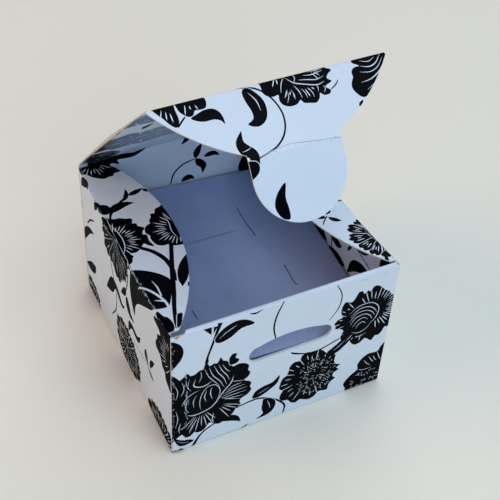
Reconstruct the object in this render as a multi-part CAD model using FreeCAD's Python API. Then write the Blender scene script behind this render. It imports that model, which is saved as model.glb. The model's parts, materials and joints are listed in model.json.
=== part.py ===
import FreeCAD, Part
import math
import os

# A small gift box for a ring or earrings, folded from glossy printed card: a tray with two
# arched side flaps, a lid whose front flap ends in a lock tongue, and a loose card platform.
# Millimetres. The origin is the middle of the tray's underside, +Z is up, and -Y is the front.

# The tray
width = 50.0
depth = 53.0
height = 38.0
card = 0.35              # thickness of the printed card
fold_radius = 0.6        # outside radius where the floor turns up into the walls
left_bow = 0.9           # how far the left wall's top bellies out at its middle
right_bow = -2.0         # and how far the right wall's top is drawn in
tab_width = 8.0          # glue tabs behind the front and back panels
tab_drop = 2.5           # how far the glue tabs stop below the rim
rim_end_left = 3.6       # the rolled rim stops this far from the left corner
rim_end_right = 0.6
notch_inset = 1.1        # the relief notch's point, from the left corner
notch_depth = 1.4

# The side flaps
flap_depth = 12.3
flap_crown = 1.0         # where along the box the flap is deepest
flap_back_depth = 5.6    # the flap's blunt back end
flap_front_depth = 0.4
flap_end_gap = 0.3
left_flap_dip = 5.5      # degrees that the flap leans into the box
right_flap_dip = 0.0

# The lid
hinge_gap = 0.06         # between a crease's bead and the card on its other side
lid_end_gap = 0.15       # the crease stops this far from the walls' outer faces
lid_rise = 0.1           # the closed lid lies this far over the side flaps
lid_overhang = 1.0       # the closed lid's front fold, in front of the tray
lid_open = 48.0          # degrees that the lid stands open
lid_sag = 0.8            # how far the lid's panel arches out of flat
lid_side_trim = 2.6      # taper of the lid's left edge towards its front fold

# The lid's front flap and its tongue
closure_offset = 1.3     # the tongue and the slot sit this far right of the middle
flap_drop = 12.2         # from the lid's front fold to the notches at the tongue's neck
neck_drop = 0.7          # from the notches to the tongue's crease
flap_belly = 1.1         # how far the flap's side edges bulge
flap_bend = 80.0         # degrees that the flap is turned down from the lid's panel
tongue_width = 18.4
tongue_length = 13.4     # from its crease to its tip
tongue_straight = 4.0    # the tongue's straight sides, before it rounds off
tongue_bend = 20.0

# The slot in the front wall
slot_clearance = 0.25
slot_height = 4.6        # at its ends
slot_arch = 1.3          # its upper edge rises this much more in the middle

# The platform
pad_card = 0.4
pad_gap = 0.35           # from the tray's walls and tabs
pad_level = 23.3         # height of its top at the middle
pad_slope_across = -0.08     # it has sunk to the right and to the front
pad_slope_along = 0.08
slit_width = 0.25

left, right = -width / 2, width / 2
front, back = -depth / 2, depth / 2
front_wall = 3 * card    # outer panel, glue tab or air, inner panel
hinge_y = back - card / 2
hinge_z = height + lid_rise + card / 2
lid_length = hinge_y - front + lid_overhang
slot_length = tongue_width + 2 * slot_clearance
slot_level = hinge_z - flap_drop - neck_drop
pad_allow = max(0.0, -right_bow) * pad_level / height


def vector(x, y, z):
    return FreeCAD.Vector(x, y, z)


def box(x0, x1, y0, y1, z0, z1):
    return Part.makeBox(x1 - x0, y1 - y0, z1 - z0, vector(x0, y0, z0))


def line(a, b):
    return Part.LineSegment(a, b).toShape()


def arc(a, middle, b):
    return Part.Arc(a, middle, b).toShape()


def plate(edges, push):
    return Part.Face(Part.Wire(edges)).extrude(push)


def polygon_plate(points, push):
    return Part.Face(Part.makePolygon(points + [points[0]])).extrude(push)


def folded_base():
    """The floor and the rounded folds that turn it up into the four walls."""
    outer = box(left, right, front, back, 0, height)
    outer = outer.makeFillet(fold_radius, floor_edges(outer, 0))
    inner = box(left + card, right - card, front + card, back - card, card, height)
    inner = inner.makeFillet(fold_radius - card, floor_edges(inner, card))
    above = box(left - 1, right + 1, front - 1, back + 1, fold_radius, height + 1)
    return outer.cut(inner).cut(above)


def floor_edges(solid, level):
    return [edge for edge in solid.Edges if all(abs(v.Z - level) < 1e-6 for v in edge.Vertexes)]


def wall_strip(side, bow, level):
    """A side wall's section at one level: a strip of card that bellies by the bow."""
    outer_x = side * width / 2
    inner_x = outer_x - side * card
    outer_ends = [vector(outer_x, y, level) for y in (front + card, back)]
    inner_ends = [vector(inner_x, y, level) for y in (back, front + card)]
    outward = vector(side * bow, 0, 0)
    return Part.Wire([
        bellied(outer_ends[0], outer_ends[1], outward),
        line(outer_ends[1], inner_ends[0]),
        bellied(inner_ends[0], inner_ends[1], outward),
        line(inner_ends[1], outer_ends[0]),
    ])


def bellied(a, b, push):
    """An edge from a to b whose middle is pushed off the straight line."""
    return arc(a, (a + b) / 2 + push, b) if push.Length else line(a, b)


def side_wall(side, bow):
    """Straight where it leaves the floor, and bowed along its top fold."""
    strips = [wall_strip(side, 0, fold_radius), wall_strip(side, bow, height)]
    return Part.makeLoft(strips, True, True)


def glue_tab(side, y0):
    x0, x1 = sorted((side * width / 2, side * (width / 2 - tab_width)))
    return box(x0, x1, y0, y0 + card, fold_radius, height - tab_drop)


def side_flap(side, bow, dip):
    """An arched flap, cut flat against the wall's bowed fold and then leant into the box."""
    fold_x = side * width / 2
    y_front = front + front_wall + flap_end_gap
    y_back = back - 2 * card - flap_end_gap

    def inward(distance, y):
        return vector(fold_x - side * distance, y, height)

    outside = -abs(bow) - flap_depth
    tip = inward(flap_front_depth, y_front)
    heel = inward(flap_back_depth, y_back)
    blank = plate([
        arc(tip, inward(flap_depth, flap_crown), heel),
        line(heel, inward(outside, y_back)),
        line(inward(outside, y_back), inward(outside, y_front)),
        line(inward(outside, y_front), tip),
    ], vector(0, 0, -card))
    fold_front, fold_back = inward(card / 2, front + card), inward(card / 2, back)
    within = plate([
        bellied(fold_front, fold_back, vector(side * bow, 0, 0)),
        line(fold_back, inward(width, back)),
        line(inward(width, back), inward(width, front + card)),
        line(inward(width, front + card), fold_front),
    ], vector(0, 0, -card))
    flap = blank.common(within)
    flap.rotate(vector(fold_x, 0, height), vector(0, 1, 0), -side * dip)
    return flap


def slot_cutter():
    """A flat-bottomed slot with round ends and a gently arched upper edge."""
    x0 = closure_offset - slot_length / 2
    x1 = closure_offset + slot_length / 2
    low = slot_level - slot_height / 2 - slot_arch / 2
    high = low + slot_height
    end = slot_height / 2
    y = front - 1

    def at(x, z):
        return vector(x, y, z)

    return plate([
        line(at(x0 + end, low), at(x1 - end, low)),
        arc(at(x1 - end, low), at(x1, low + end), at(x1 - end, high)),
        arc(at(x1 - end, high), at(closure_offset, high + slot_arch), at(x0 + end, high)),
        arc(at(x0 + end, high), at(x0, low + end), at(x0 + end, low)),
    ], vector(0, front_wall + 2, 0))


def rolled_rim():
    """The half-round fold that carries the outer panel over into the inner one."""
    x0, x1 = left + rim_end_left, right - rim_end_right
    y = front + front_wall / 2
    z = height - front_wall / 2
    outer = Part.makeCylinder(front_wall / 2, x1 - x0, vector(x0, y, z), vector(1, 0, 0))
    inner = Part.makeCylinder(front_wall / 2 - card, x1 - x0, vector(x0, y, z), vector(1, 0, 0))
    below = box(x0 - 1, x1 + 1, front - 1, front + front_wall + 1, 0, z)
    return outer.cut(inner).cut(below)


def front_panels():
    rim_level = height - front_wall / 2
    x0, x1 = left + rim_end_left, right - rim_end_right
    outer = box(left, right, front, front + card, fold_radius, height)
    outer = outer.cut(box(x0, x1, front - 1, front + 1, rim_level, height + 1))
    notch_x = left + notch_inset
    notch = polygon_plate([
        vector(left + notch_inset / 4, front - 1, height + 1),
        vector(notch_x, front - 1, height - notch_depth),
        vector(x0, front - 1, height),
        vector(x0, front - 1, height + 1),
    ], vector(0, 2, 0))
    inner_x0, inner_x1 = left + card + pad_gap, right - card - pad_gap
    inner = box(inner_x0, inner_x1, front + 2 * card, front + front_wall, card, rim_level)
    inner = inner.cut(box(left, x0, front, front + 3, height - notch_depth - card, height))
    inner = inner.cut(box(x1, right, front, front + 3, height - notch_depth - card, height))
    return [outer.cut(notch), inner, rolled_rim()]


def tray():
    back_top = hinge_z - card / 2 - hinge_gap
    pieces = [
        folded_base(),
        box(left, right, back - card, back, fold_radius, back_top),
        side_wall(-1, left_bow),
        side_wall(1, right_bow),
        side_flap(-1, left_bow, left_flap_dip),
        side_flap(1, right_bow, right_flap_dip),
    ]
    for side in (-1, 1):
        pieces.append(glue_tab(side, front + card))
        pieces.append(glue_tab(side, back - 2 * card))
    pieces += front_panels()
    body = pieces[0].multiFuse(pieces[1:])
    body = body.removeSplitter()
    return body.cut(slot_cutter())


def crease_bead(x0, x1):
    """The rounded crease along a fold, lying on the hinge axis."""
    return Part.makeCylinder(card / 2, x1 - x0, vector(x0, 0, 0), vector(1, 0, 0))


# Each panel of the lid is laid out flat first: its crease on the X axis, the panel running
# towards -Y. It is then bent about its crease and moved to the end of the panel before it.

def lid_panel():
    x0, x1 = left + lid_end_gap, right - lid_end_gap
    end = lid_length - card / 2 - hinge_gap
    half = card / 2

    def at(distance, up):
        return vector(x0, -distance, up)

    crown = lid_sag + half
    arched = plate([
        arc(at(0, half), at(end / 2, crown), at(end, half)),
        line(at(end, half), at(end, -half)),
        arc(at(end, -half), at(end / 2, crown - card), at(0, -half)),
        arc(at(0, -half), at(-half, 0), at(0, half)),
    ], vector(x1 - x0, 0, 0))
    trim = polygon_plate([
        vector(x0, 0, -card),
        vector(x0 - 1, 0, -card),
        vector(x0 - 1, -end - 1, -card),
        vector(left + lid_side_trim, -end - 1, -card),
    ], vector(0, 0, crown + 2 * card))
    return arched.cut(trim)


def lid_front_flap():
    x0, x1 = left + lid_side_trim, right - lid_end_gap
    half_neck = tongue_width / 2
    neck_left, neck_right = closure_offset - half_neck, closure_offset + half_neck
    end = flap_drop + neck_drop - card / 2 - hinge_gap

    def at(x, distance):
        return vector(x, -distance, -card / 2)

    def bulging(a, b):
        middle = (a + b) / 2
        along = b - a
        outward = vector(-along.y, along.x, 0).normalize()
        if outward.x * (middle.x - closure_offset) < 0:
            outward = outward * -1
        return arc(a, middle + outward * flap_belly, b)

    flap = plate([
        line(at(x0, 0), at(x1, 0)),
        bulging(at(x1, 0), at(neck_right, flap_drop)),
        line(at(neck_right, flap_drop), at(neck_right, end)),
        line(at(neck_right, end), at(neck_left, end)),
        line(at(neck_left, end), at(neck_left, flap_drop)),
        bulging(at(neck_left, flap_drop), at(x0, 0)),
    ], vector(0, 0, card))
    return flap.fuse(crease_bead(x0, x1)).removeSplitter()


def lock_tongue():
    x0, x1 = closure_offset - tongue_width / 2, closure_offset + tongue_width / 2

    def at(x, distance):
        return vector(x, -distance, -card / 2)

    tip = at(closure_offset, tongue_length)
    shoulders = [at(x0, tongue_straight), at(x1, tongue_straight)]
    tongue = plate([
        line(at(x0, 0), at(x1, 0)),
        line(at(x1, 0), shoulders[1]),
        arc(shoulders[1], tip, shoulders[0]),
        line(shoulders[0], at(x0, 0)),
    ], vector(0, 0, card))
    return tongue.fuse(crease_bead(x0, x1)).removeSplitter()


def place(panel, angle, y, z):
    """Turns a flat panel up from -Y by the angle and moves its crease to y and z."""
    panel.rotate(vector(0, 0, 0), vector(1, 0, 0), -angle)
    panel.translate(vector(0, y, z))
    return panel


def step(y, z, angle, length):
    turn = math.radians(angle)
    return y - length * math.cos(turn), z + length * math.sin(turn)


def platform():
    """A card platform: a top panel on two side legs that stand on the tray's floor."""
    x0, x1 = left + card + pad_gap, right - card - pad_gap - pad_allow
    y0, y1 = front + front_wall + pad_gap, back - 2 * card - pad_gap
    block = box(x0, x1, y0, y1, card, height)
    hollow = box(x0 + pad_card, x1 - pad_card, y0 - 1, y1 + 1, card - 1, height)
    block = block.cut(above_slope(pad_level))
    hollow = hollow.cut(above_slope(pad_level - pad_card))
    body = block.cut(hollow)
    for slit in slits():
        body = body.cut(slit)
    return body


def above_slope(level):
    """Everything above the platform's slanted plane, which is at this level in the middle."""
    reach = 2 * (width + depth)
    normal = vector(-pad_slope_across, -pad_slope_along, 1)
    space = box(-reach / 2, reach / 2, -reach / 2, reach / 2, 0, reach)
    space.Placement = FreeCAD.Placement(
        vector(0, 0, level),
        FreeCAD.Rotation(vector(0, 0, 1), normal),
    )
    return space


def slits():
    """Cuts that hold an earring's hook or a card: one across, three along the box."""
    runs = [
        ((-8.0, 7.6), (5.2, 8.2)),
        ((8.0, 14.9), (8.0, 10.6)),
        ((8.0, 10.6), (8.5, 5.3)),
        ((10.9, -4.2), (10.7, -9.8)),
        ((10.7, -9.8), (11.3, -10.4)),
        ((-13.6, -10.1), (-13.4, -12.5)),
    ]
    cutters = []
    for (xa, ya), (xb, yb) in runs:
        length = math.hypot(xb - xa, yb - ya)
        cutter = box(0, length, -slit_width / 2, slit_width / 2, 0, height)
        cutter.rotate(vector(0, 0, 0), vector(0, 0, 1), math.degrees(math.atan2(yb - ya, xb - xa)))
        cutter.translate(vector(xa, ya, pad_level / 2))
        cutters.append(cutter)
    return cutters


fold_y, fold_z = step(hinge_y, hinge_z, lid_open, lid_length)
flap_angle = lid_open - flap_bend
neck_y, neck_z = step(fold_y, fold_z, flap_angle, flap_drop + neck_drop)

nodes = {
    "tray": tray(),
    "platform": platform(),
    "lid_panel": place(lid_panel(), lid_open, hinge_y, hinge_z),
    "lid_front_flap": place(lid_front_flap(), flap_angle, fold_y, fold_z),
    "lock_tongue": place(lock_tongue(), flap_angle - tongue_bend, neck_y, neck_z),
}

os.makedirs("parts", exist_ok=True)
for name, shape in nodes.items():
    shape.exportStep("parts/" + name + ".step")
    print(name, len(shape.Solids), "solid,", round(shape.Volume, 1), "mm3, valid", shape.isValid())
print("lid hinge", hinge_y, hinge_z)
print("front fold", round(fold_y, 4), round(fold_z, 4))
print("tongue crease", round(neck_y, 4), round(neck_z, 4), "slot level", round(slot_level, 3))
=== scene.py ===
import json
import math
import random

import bpy
import numpy as np
from mathutils import Matrix, Vector
from mathutils.geometry import delaunay_2d_cdt


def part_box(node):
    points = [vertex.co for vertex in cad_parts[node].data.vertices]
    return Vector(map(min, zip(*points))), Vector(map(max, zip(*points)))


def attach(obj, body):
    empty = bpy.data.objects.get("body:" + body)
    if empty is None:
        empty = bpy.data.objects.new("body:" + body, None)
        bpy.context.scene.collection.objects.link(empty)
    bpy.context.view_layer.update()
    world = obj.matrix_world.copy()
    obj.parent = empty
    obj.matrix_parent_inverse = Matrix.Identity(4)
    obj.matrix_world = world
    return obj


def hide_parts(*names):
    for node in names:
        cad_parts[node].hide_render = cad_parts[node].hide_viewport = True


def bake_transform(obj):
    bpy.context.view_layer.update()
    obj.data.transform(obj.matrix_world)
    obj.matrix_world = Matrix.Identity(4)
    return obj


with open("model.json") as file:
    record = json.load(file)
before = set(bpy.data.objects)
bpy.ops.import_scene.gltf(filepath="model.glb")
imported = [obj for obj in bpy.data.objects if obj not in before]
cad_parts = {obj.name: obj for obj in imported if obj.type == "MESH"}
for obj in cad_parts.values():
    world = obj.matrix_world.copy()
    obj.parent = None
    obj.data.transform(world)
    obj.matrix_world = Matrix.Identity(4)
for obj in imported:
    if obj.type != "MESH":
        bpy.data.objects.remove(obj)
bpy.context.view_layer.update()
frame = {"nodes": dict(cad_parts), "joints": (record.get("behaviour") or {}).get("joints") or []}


# The blank
# One die-cut sheet of white art card, printed in black on both faces and coated. Everything but
# the loose platform is folded from it: the tray, the lid, the lid's front flap and its tongue.

# Places on the blank are millimetres across (x) and along (y) from the middle of the floor. Its
# outer face is the one that shows on the outside of the folded box.
mm = 0.001                              # the frame is in metres
quarter = math.pi / 2
card = 0.35                             # thickness of the sheet
tray_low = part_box("tray")[0] / mm
half_depth = -tray_low.y
extra_depth = 3.0                       # the box is this much deeper than it is wide
half_width = half_depth - extra_depth / 2
wall_height = 38.0
left_bow, right_bow = 0.9, -2.0         # how far each side wall's top bellies out
bow_middle = card / 2                   # where along the box it does so most
floor_fold, top_fold, tab_fold = 0.6, 0.35, 0.4     # how round each kind of fold is outside
roll_gap = 3 * card                     # the front wall's own thickness, doubled over its tab
crease_fold, crease_half = 0.6, 0.5     # the soft strip at each crease of the lid
lid_sag = 0.8                           # how far the lid's panel arches out of flat
bend_crest, bend_depth = -22.3, 0.8     # the front panel's pressed-in corner,
bend_before, bend_after = 2.6, 5.0      # and how far its bend reaches to each side
lid_axis, flap_axis, tongue_axis = (Vector(joint["pos_m"]) / mm for joint in frame["joints"])


def rise_between(near, far):
    """The slope of the card that runs forwards from one crease to the next, in radians."""
    return math.atan2(far.z - near.z, near.y - far.y)


lid_slope = rise_between(lid_axis, flap_axis)
flap_slope = rise_between(flap_axis, tongue_axis)
lid_turn = quarter - lid_slope
flap_turn = lid_slope - flap_slope
tongue_turn = -math.radians(frame["joints"][2]["range_deg"][0])


def outer_gain(turn):
    """How much further the outer face runs to a fold's corner than the card's middle does."""
    return card / 2 * math.tan(turn / 2)


lid_start = half_depth + lid_axis.z + outer_gain(lid_turn)
lid_run = (flap_axis - lid_axis).length + outer_gain(lid_turn) + outer_gain(flap_turn)
flap_start = lid_start + lid_run
flap_run = (tongue_axis - flap_axis).length + outer_gain(flap_turn) + outer_gain(tongue_turn)
tongue_start = flap_start + flap_run
rim_line = half_depth + wall_height
side_folds = [
    (half_width, quarter, floor_fold),
    (half_width + wall_height, quarter, top_fold),
]
front_folds = [
    (half_depth, quarter, floor_fold),
    (rim_line, quarter, roll_gap / 2),
    (rim_line + roll_gap, quarter, roll_gap / 2),
]
back_folds = [
    (half_depth, quarter, floor_fold),
    (lid_start, lid_turn, crease_fold),
    (flap_start, flap_turn, crease_fold),
    (tongue_start, tongue_turn, crease_fold),
]
tab_folds = [(half_depth - card, quarter, tab_fold)]


def along_folds(distance, folds):
    """How far out and up a folded sheet is at this distance along it, and its lean."""
    out, up, lean, start = 0.0, 0.0, 0.0, 0.0
    for corner, turn, radius in folds:
        reach = radius * math.tan(turn / 2)
        if distance <= corner - reach:
            break
        run = corner - reach - start
        centre_out = out + run * math.cos(lean) - radius * math.sin(lean)
        centre_up = up + run * math.sin(lean) + radius * math.cos(lean)
        share = min((distance - corner + reach) / (2 * reach), 1.0)
        lean += turn * share
        out = centre_out + radius * math.sin(lean)
        up = centre_up - radius * math.cos(lean)
        start = corner + reach
        if share < 1.0:
            return out, up, lean
    rest = distance - start
    return out + rest * math.cos(lean), up + rest * math.sin(lean), lean


def bow_at(y, side):
    """How far the side wall's top fold bellies out at this place along the box."""
    share = (y - bow_middle) / (half_depth - bow_middle)
    return (left_bow if side < 0 else right_bow) * max(0.0, 1 - share * share)


def soft_bend(x, rise):
    """The front panel's left corner has been pressed in, which leaves a soft upright bend."""
    if x < bend_crest:
        across = 1 - (bend_crest - x) / bend_before
    else:
        across = (1 - min(1.0, (x - bend_crest) / bend_after)) ** 1.6
    upright = math.sin(math.pi * min(1.0, max(0.0, rise / (wall_height - 1.0))))
    return bend_depth * max(0.0, across) * upright ** 0.5


def folded(x, y, depth):
    """A point of the folded box: at x and y on the blank, this deep below its outer face."""
    side = -1 if x < 0 else 1
    if abs(x) > half_width - floor_fold and abs(y) < half_depth - floor_fold or abs(x) > half_width:
        out, up, lean = along_folds(abs(x), side_folds)
        along, inset, turn = along_folds(abs(y), tab_folds)
        climb = min(1.0, max(0.0, (abs(x) - half_width) / wall_height))
        out += bow_at(y, side) * climb - inset
        normal = Vector((
            side * math.sin(lean) * math.cos(turn),
            math.copysign(math.sin(turn), y),
            -math.cos(lean),
        ))
        return Vector((side * out, math.copysign(along, y), up)) - depth * normal
    way = -1 if y < 0 else 1
    out, up, lean = along_folds(abs(y), front_folds if y < 0 else back_folds)
    normal = Vector((0, way * math.sin(lean), -math.cos(lean)))
    place = Vector((x, way * out, up)) - depth * normal
    if y < 0 and abs(y) < rim_line:
        place.y -= soft_bend(x, abs(y) - half_depth)
    if lid_start < y < flap_start:
        share = (y - lid_start) / lid_run
        place += normal * lid_sag * 4 * share * (1 - share)
    return place


def inside(points, polygon):
    """Which of the points lie inside a closed polygon."""
    x, y = points[:, 0:1], points[:, 1:2]
    ax, ay = polygon[:, 0], polygon[:, 1]
    bx, by = np.roll(ax, -1), np.roll(ay, -1)
    spans = (ay > y) != (by > y)
    rise = np.where(by == ay, 1.0, by - ay)
    crosses = spans & (x < (bx - ax) * (y - ay) / rise + ax)
    return crosses.sum(1) % 2 == 1


def cut_face(outline, holes, prints, creases, spacing):
    """One printed face of a cut sheet: its corners, its triangles and the finish of each."""
    border = np.array(outline, float)
    low, high = border.min(0), border.max(0)
    prints = [(np.array(shape, float), finish) for shape, finish in prints]
    prints = [
        (shape, finish) for shape, finish in prints
        if (shape.max(0) >= low).all() and (shape.min(0) <= high).all()
    ]
    corners, edges = [], []
    for loop in [outline] + holes + [shape for shape, finish in prints]:
        first, count = len(corners), len(loop)
        corners += [Vector(point) for point in loop]
        edges += [(first + i, first + (i + 1) % count) for i in range(count)]
    for a, b in creases:
        edges.append((len(corners), len(corners) + 1))
        corners += [Vector(a), Vector(b)]
    steps = [np.arange(low[i] + spacing / 2, high[i], spacing) for i in (0, 1)]
    grid = np.stack(np.meshgrid(*steps), -1).reshape(-1, 2)
    if len(grid):
        corners += [Vector(point) for point in grid[inside(grid, border)]]
    made, _, faces, *_ = delaunay_2d_cdt(corners, edges, [], 0, 1e-4, False)
    corners = np.array([tuple(v) for v in made], float)
    faces = np.array([tuple(f) for f in faces], int)
    middles = corners[faces].mean(1)
    kept = inside(middles, border)
    for hole in holes:
        kept &= ~inside(middles, np.array(hole, float))
    faces, middles = faces[kept], middles[kept]
    order = np.argsort(middles[:, 0])
    sorted_x = middles[order, 0]
    finishes = np.zeros(len(faces), int)
    for shape, finish in prints:
        first, last = np.searchsorted(sorted_x, [shape[:, 0].min(), shape[:, 0].max()])
        near = order[first:last]
        near = near[(middles[near, 1] >= shape[:, 1].min()) & (middles[near, 1] <= shape[:, 1].max())]
        if len(near):
            finishes[near[inside(middles[near], shape)]] = finish
    used, faces = np.unique(faces, return_inverse=True)
    return corners[used], faces.reshape(-1, 3), finishes


def rims(faces):
    """The closed loops of corners round a face's edge and its holes."""
    sides = {(int(f[i]), int(f[(i + 1) % 3])) for f in faces for i in range(3)}
    after = {a: b for a, b in sides if (b, a) not in sides}
    loops = []
    while after:
        start, step = next(iter(after.items()))
        loop = [start]
        while step != start:
            loop.append(step)
            step = after.pop(step)
        after.pop(start)
        loops.append(loop)
    return loops


def begin_at(loop, corners, point):
    """The loop turned round to begin at its corner nearest to the point."""
    gaps = [math.dist(corners[i], point) for i in loop]
    first = gaps.index(min(gaps))
    return loop[first:] + loop[:first]


def band(outer, outer_corners, inner, inner_corners):
    """The raw cut edge between an outer and an inner loop, which may differ in their corners."""
    def travelled(loop, corners):
        ring = loop + loop[:1]
        legs = [math.dist(corners[a], corners[b]) for a, b in zip(ring, ring[1:])]
        return np.cumsum([0.0] + legs)

    far, near = travelled(outer, outer_corners), travelled(inner, inner_corners)
    i, j, faces = 0, 0, []
    while i < len(outer) or j < len(inner):
        a, b = outer[i % len(outer)], inner[j % len(inner)]
        step_out = j == len(inner) or (i < len(outer) and far[i + 1] <= near[j + 1])
        if step_out:
            i += 1
            faces.append((("out", a), ("out", outer[i % len(outer)]), ("in", b)))
        else:
            j += 1
            faces.append((("out", a), ("in", inner[j % len(inner)]), ("in", b)))
    return faces


# The finishes of the sheet, in the order of its material slots. The fourth is the rubbed coat, which also
# paints highlight streaks and a crease's shade.
bare, ink, cut, wear_and_painted_light, pooled = range(5)


def cut_sheet(name, outline, holes, outside, within, creases=(), hole_edge=cut):
    """A piece cut from the blank and folded: two printed faces and the raw edge between them."""
    spacing = 2.5
    holes = [list(hole) for hole in holes]
    outer_corners, outer_faces, outer_finish = cut_face(outline, holes, list(outside), creases, spacing)
    inner_corners, inner_faces, inner_finish = cut_face(outline, holes, list(within), creases, spacing)
    count = len(outer_corners)
    places = [folded(x, y, 0.0) for x, y in outer_corners]
    places += [folded(x, y, card) for x, y in inner_corners]
    faces = [tuple(int(i) for i in face[::-1]) for face in outer_faces]
    faces += [tuple(int(i) + count for i in face) for face in inner_faces]
    looks = outer_finish.tolist() + inner_finish.tolist()
    inner_rims, outer_rims = rims(inner_faces), rims(outer_faces)
    longest = max(len(loop) for loop in outer_rims)
    for outer in outer_rims:
        edge_look = cut if len(outer) == longest else hole_edge
        start = outer_corners[outer[0]]
        inner = min(
            (begin_at(loop, inner_corners, start) for loop in inner_rims),
            key=lambda loop: math.dist(inner_corners[loop[0]], start),
        )
        outer = begin_at(outer, outer_corners, inner_corners[inner[0]])
        for face in band(outer, outer_corners, inner, inner_corners):
            faces.append(tuple(i + (count if where == "in" else 0) for where, i in face))
            looks.append(edge_look)
    mesh = bpy.data.meshes.new(name)
    mesh.from_pydata([place * mm for place in places], [], faces)
    for material in (coated_card, printing_ink, raw_edge, worn_coat_and_painted_light, pooled_varnish):
        mesh.materials.append(material)
    mesh.polygons.foreach_set("material_index", looks)
    mesh.update()
    mesh.polygons.foreach_set("use_smooth", [True] * len(mesh.polygons))
    mesh.set_sharp_from_angle(angle=math.radians(40))
    piece = bpy.data.objects.new(name, mesh)
    bpy.context.scene.collection.objects.link(piece)
    return piece


def fold_lines(line, radius, turn, low, high, across):
    """Creases along a fold, which runs across the blank or along it, so that it shows round."""
    reach, margin = radius * math.tan(turn / 2), 0.12
    shares = [-1.0, -0.67, -0.33, 0.0, 0.33, 0.67, 1.0]
    places = [line + reach * share for share in shares]
    places += [line - reach - margin, line + reach + margin]
    if across:
        return [((low, place), (high, place)) for place in places]
    return [((place, low), (place, high)) for place in places]


# The card's finish
# Coated art card: a smooth white clay coat under a thin gloss varnish, which gives a soft sheen
# with a faint unevenness. The black is offset ink under the same varnish, a little glossier, and
# the cut edges show the uncoated cream fibre inside.

def linear(code):
    """An sRGB hex colour as linear light."""
    parts = [int(code[i:i + 2], 16) / 255 for i in (0, 2, 4)]
    return tuple(c / 12.92 if c <= 0.04045 else ((c + 0.055) / 1.055) ** 2.4 for c in parts) + (1.0,)


def add_node(tree, kind, settings=(), **inputs):
    """Adds a node with its settings, and its inputs as values or links."""
    node = tree.nodes.new(kind)
    for key, value in dict(settings).items():
        setattr(node, key, value)
    for key, value in inputs.items():
        socket = node.inputs[int(key[1:])] if key[1:].isdigit() else node.inputs[key.replace("_", " ")]
        if isinstance(value, bpy.types.NodeSocket):
            tree.links.new(value, socket)
        else:
            socket.default_value = value
    return node


def new_material(name):
    """A material with an empty tree, and its tree."""
    material = bpy.data.materials.new(name)
    material.use_nodes = True
    material.node_tree.nodes.clear()
    return material, material.node_tree


def varnished(name, pale, deep, roughness, specular, coat):
    """Card under gloss varnish: mottled over 9 mm, peeled like an orange every 0.5 mm, and
    waved over 14 mm, which breaks up what it mirrors. The peel is drawn coarser than it is."""
    material, tree = new_material(name)
    place = add_node(tree, "ShaderNodeTexCoord").outputs["Object"]
    mottle = add_node(tree, "ShaderNodeTexNoise", Vector=place, Scale=1 / (9 * mm), Detail=3.0)
    tint = add_node(
        tree, "ShaderNodeMix", {"data_type": "RGBA"}, _0=mottle.outputs[0], _6=linear(pale), _7=linear(deep),
    )
    peel = add_node(tree, "ShaderNodeTexNoise", Vector=place, Scale=1 / (0.5 * mm), Detail=2.0)
    warp = add_node(tree, "ShaderNodeTexNoise", Vector=place, Scale=1 / (14 * mm), Detail=1.0)
    fine = add_node(tree, "ShaderNodeBump", Strength=0.12, Distance=0.02 * mm, Height=peel.outputs[0])
    wavy = add_node(
        tree, "ShaderNodeBump", Strength=0.5, Distance=0.25 * mm, Height=warp.outputs[0],
        Normal=fine.outputs[0],
    )
    shader = add_node(
        tree, "ShaderNodeBsdfPrincipled", Base_Color=tint.outputs[2], Roughness=roughness, IOR=1.5,
        Specular_IOR_Level=specular, Coat_Weight=coat, Coat_Roughness=0.15, Normal=wavy.outputs[0],
    )
    add_node(tree, "ShaderNodeOutputMaterial", Surface=shader.outputs[0])
    return material


def fibrous(name, pale, deep, roughness, fibre, strength):
    """Uncoated card: pressed fibres of this size in mm, which mottle the colour and roughen it."""
    material, tree = new_material(name)
    place = add_node(tree, "ShaderNodeTexCoord").outputs["Object"]
    cloud = add_node(tree, "ShaderNodeTexNoise", Vector=place, Scale=1 / (6 * mm), Detail=4.0)
    fleck = add_node(
        tree, "ShaderNodeTexNoise", Vector=place, Scale=1 / (fibre * mm), Detail=3.0, Roughness=0.7,
    )
    much = add_node(tree, "ShaderNodeMath", {"operation": "MULTIPLY"}, _0=fleck.outputs[0], _1=0.6)
    total = add_node(
        tree, "ShaderNodeMath", {"operation": "MULTIPLY_ADD"}, _0=cloud.outputs[0], _1=0.4,
        _2=much.outputs[0],
    )
    tint = add_node(
        tree, "ShaderNodeMix", {"data_type": "RGBA"}, _0=total.outputs[0], _6=linear(deep), _7=linear(pale),
    )
    bump = add_node(tree, "ShaderNodeBump", Strength=strength, Distance=0.05 * mm, Height=fleck.outputs[0])
    shader = add_node(
        tree, "ShaderNodeBsdfPrincipled", Base_Color=tint.outputs[2], Roughness=roughness, IOR=1.45,
        Normal=bump.outputs[0],
    )
    add_node(tree, "ShaderNodeOutputMaterial", Surface=shader.outputs[0])
    return material


# Calendered white card under a thin varnish, with a soft sheen. Its slight blue tint is painted light: the
# window's cool light, put into the card's colour.
coated_card = varnished(
    "varnished_art_card", "e4ebf4", "dce4ee", roughness=0.4, specular=0.4, coat=0.2,
)
# Offset black, dried flat: it swallows the light and takes hardly any highlight.
printing_ink = varnished(
    "varnished_black_offset_ink", "05070d", "04050a", roughness=0.3, specular=0.0, coat=0.07,
)
# Die-cut edges: the cream, matte fibre inside the sheet.
raw_edge = fibrous("raw_cut_card_edge", "efe6cf", "d9ccb0", roughness=0.8, fibre=0.12, strength=0.5)
# A chalky grey with no gloss: the cracked coat where a fold has rubbed. It also paints the highlight streaks
# on the front's bent corner and the shade of the tongue's crease groove.
worn_coat_and_painted_light = fibrous("cracked_coat_and_painted_light", "c3cfe0", "93a0b6", roughness=0.7, fibre=0.15, strength=0.6)
# Ink under a thick pool of varnish: it mirrors the window and looks much paler from low down.
pooled_varnish = varnished(
    "ink_under_pooled_varnish", "0d111d", "080b14", roughness=0.28, specular=0.6, coat=0.9,
)


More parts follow.
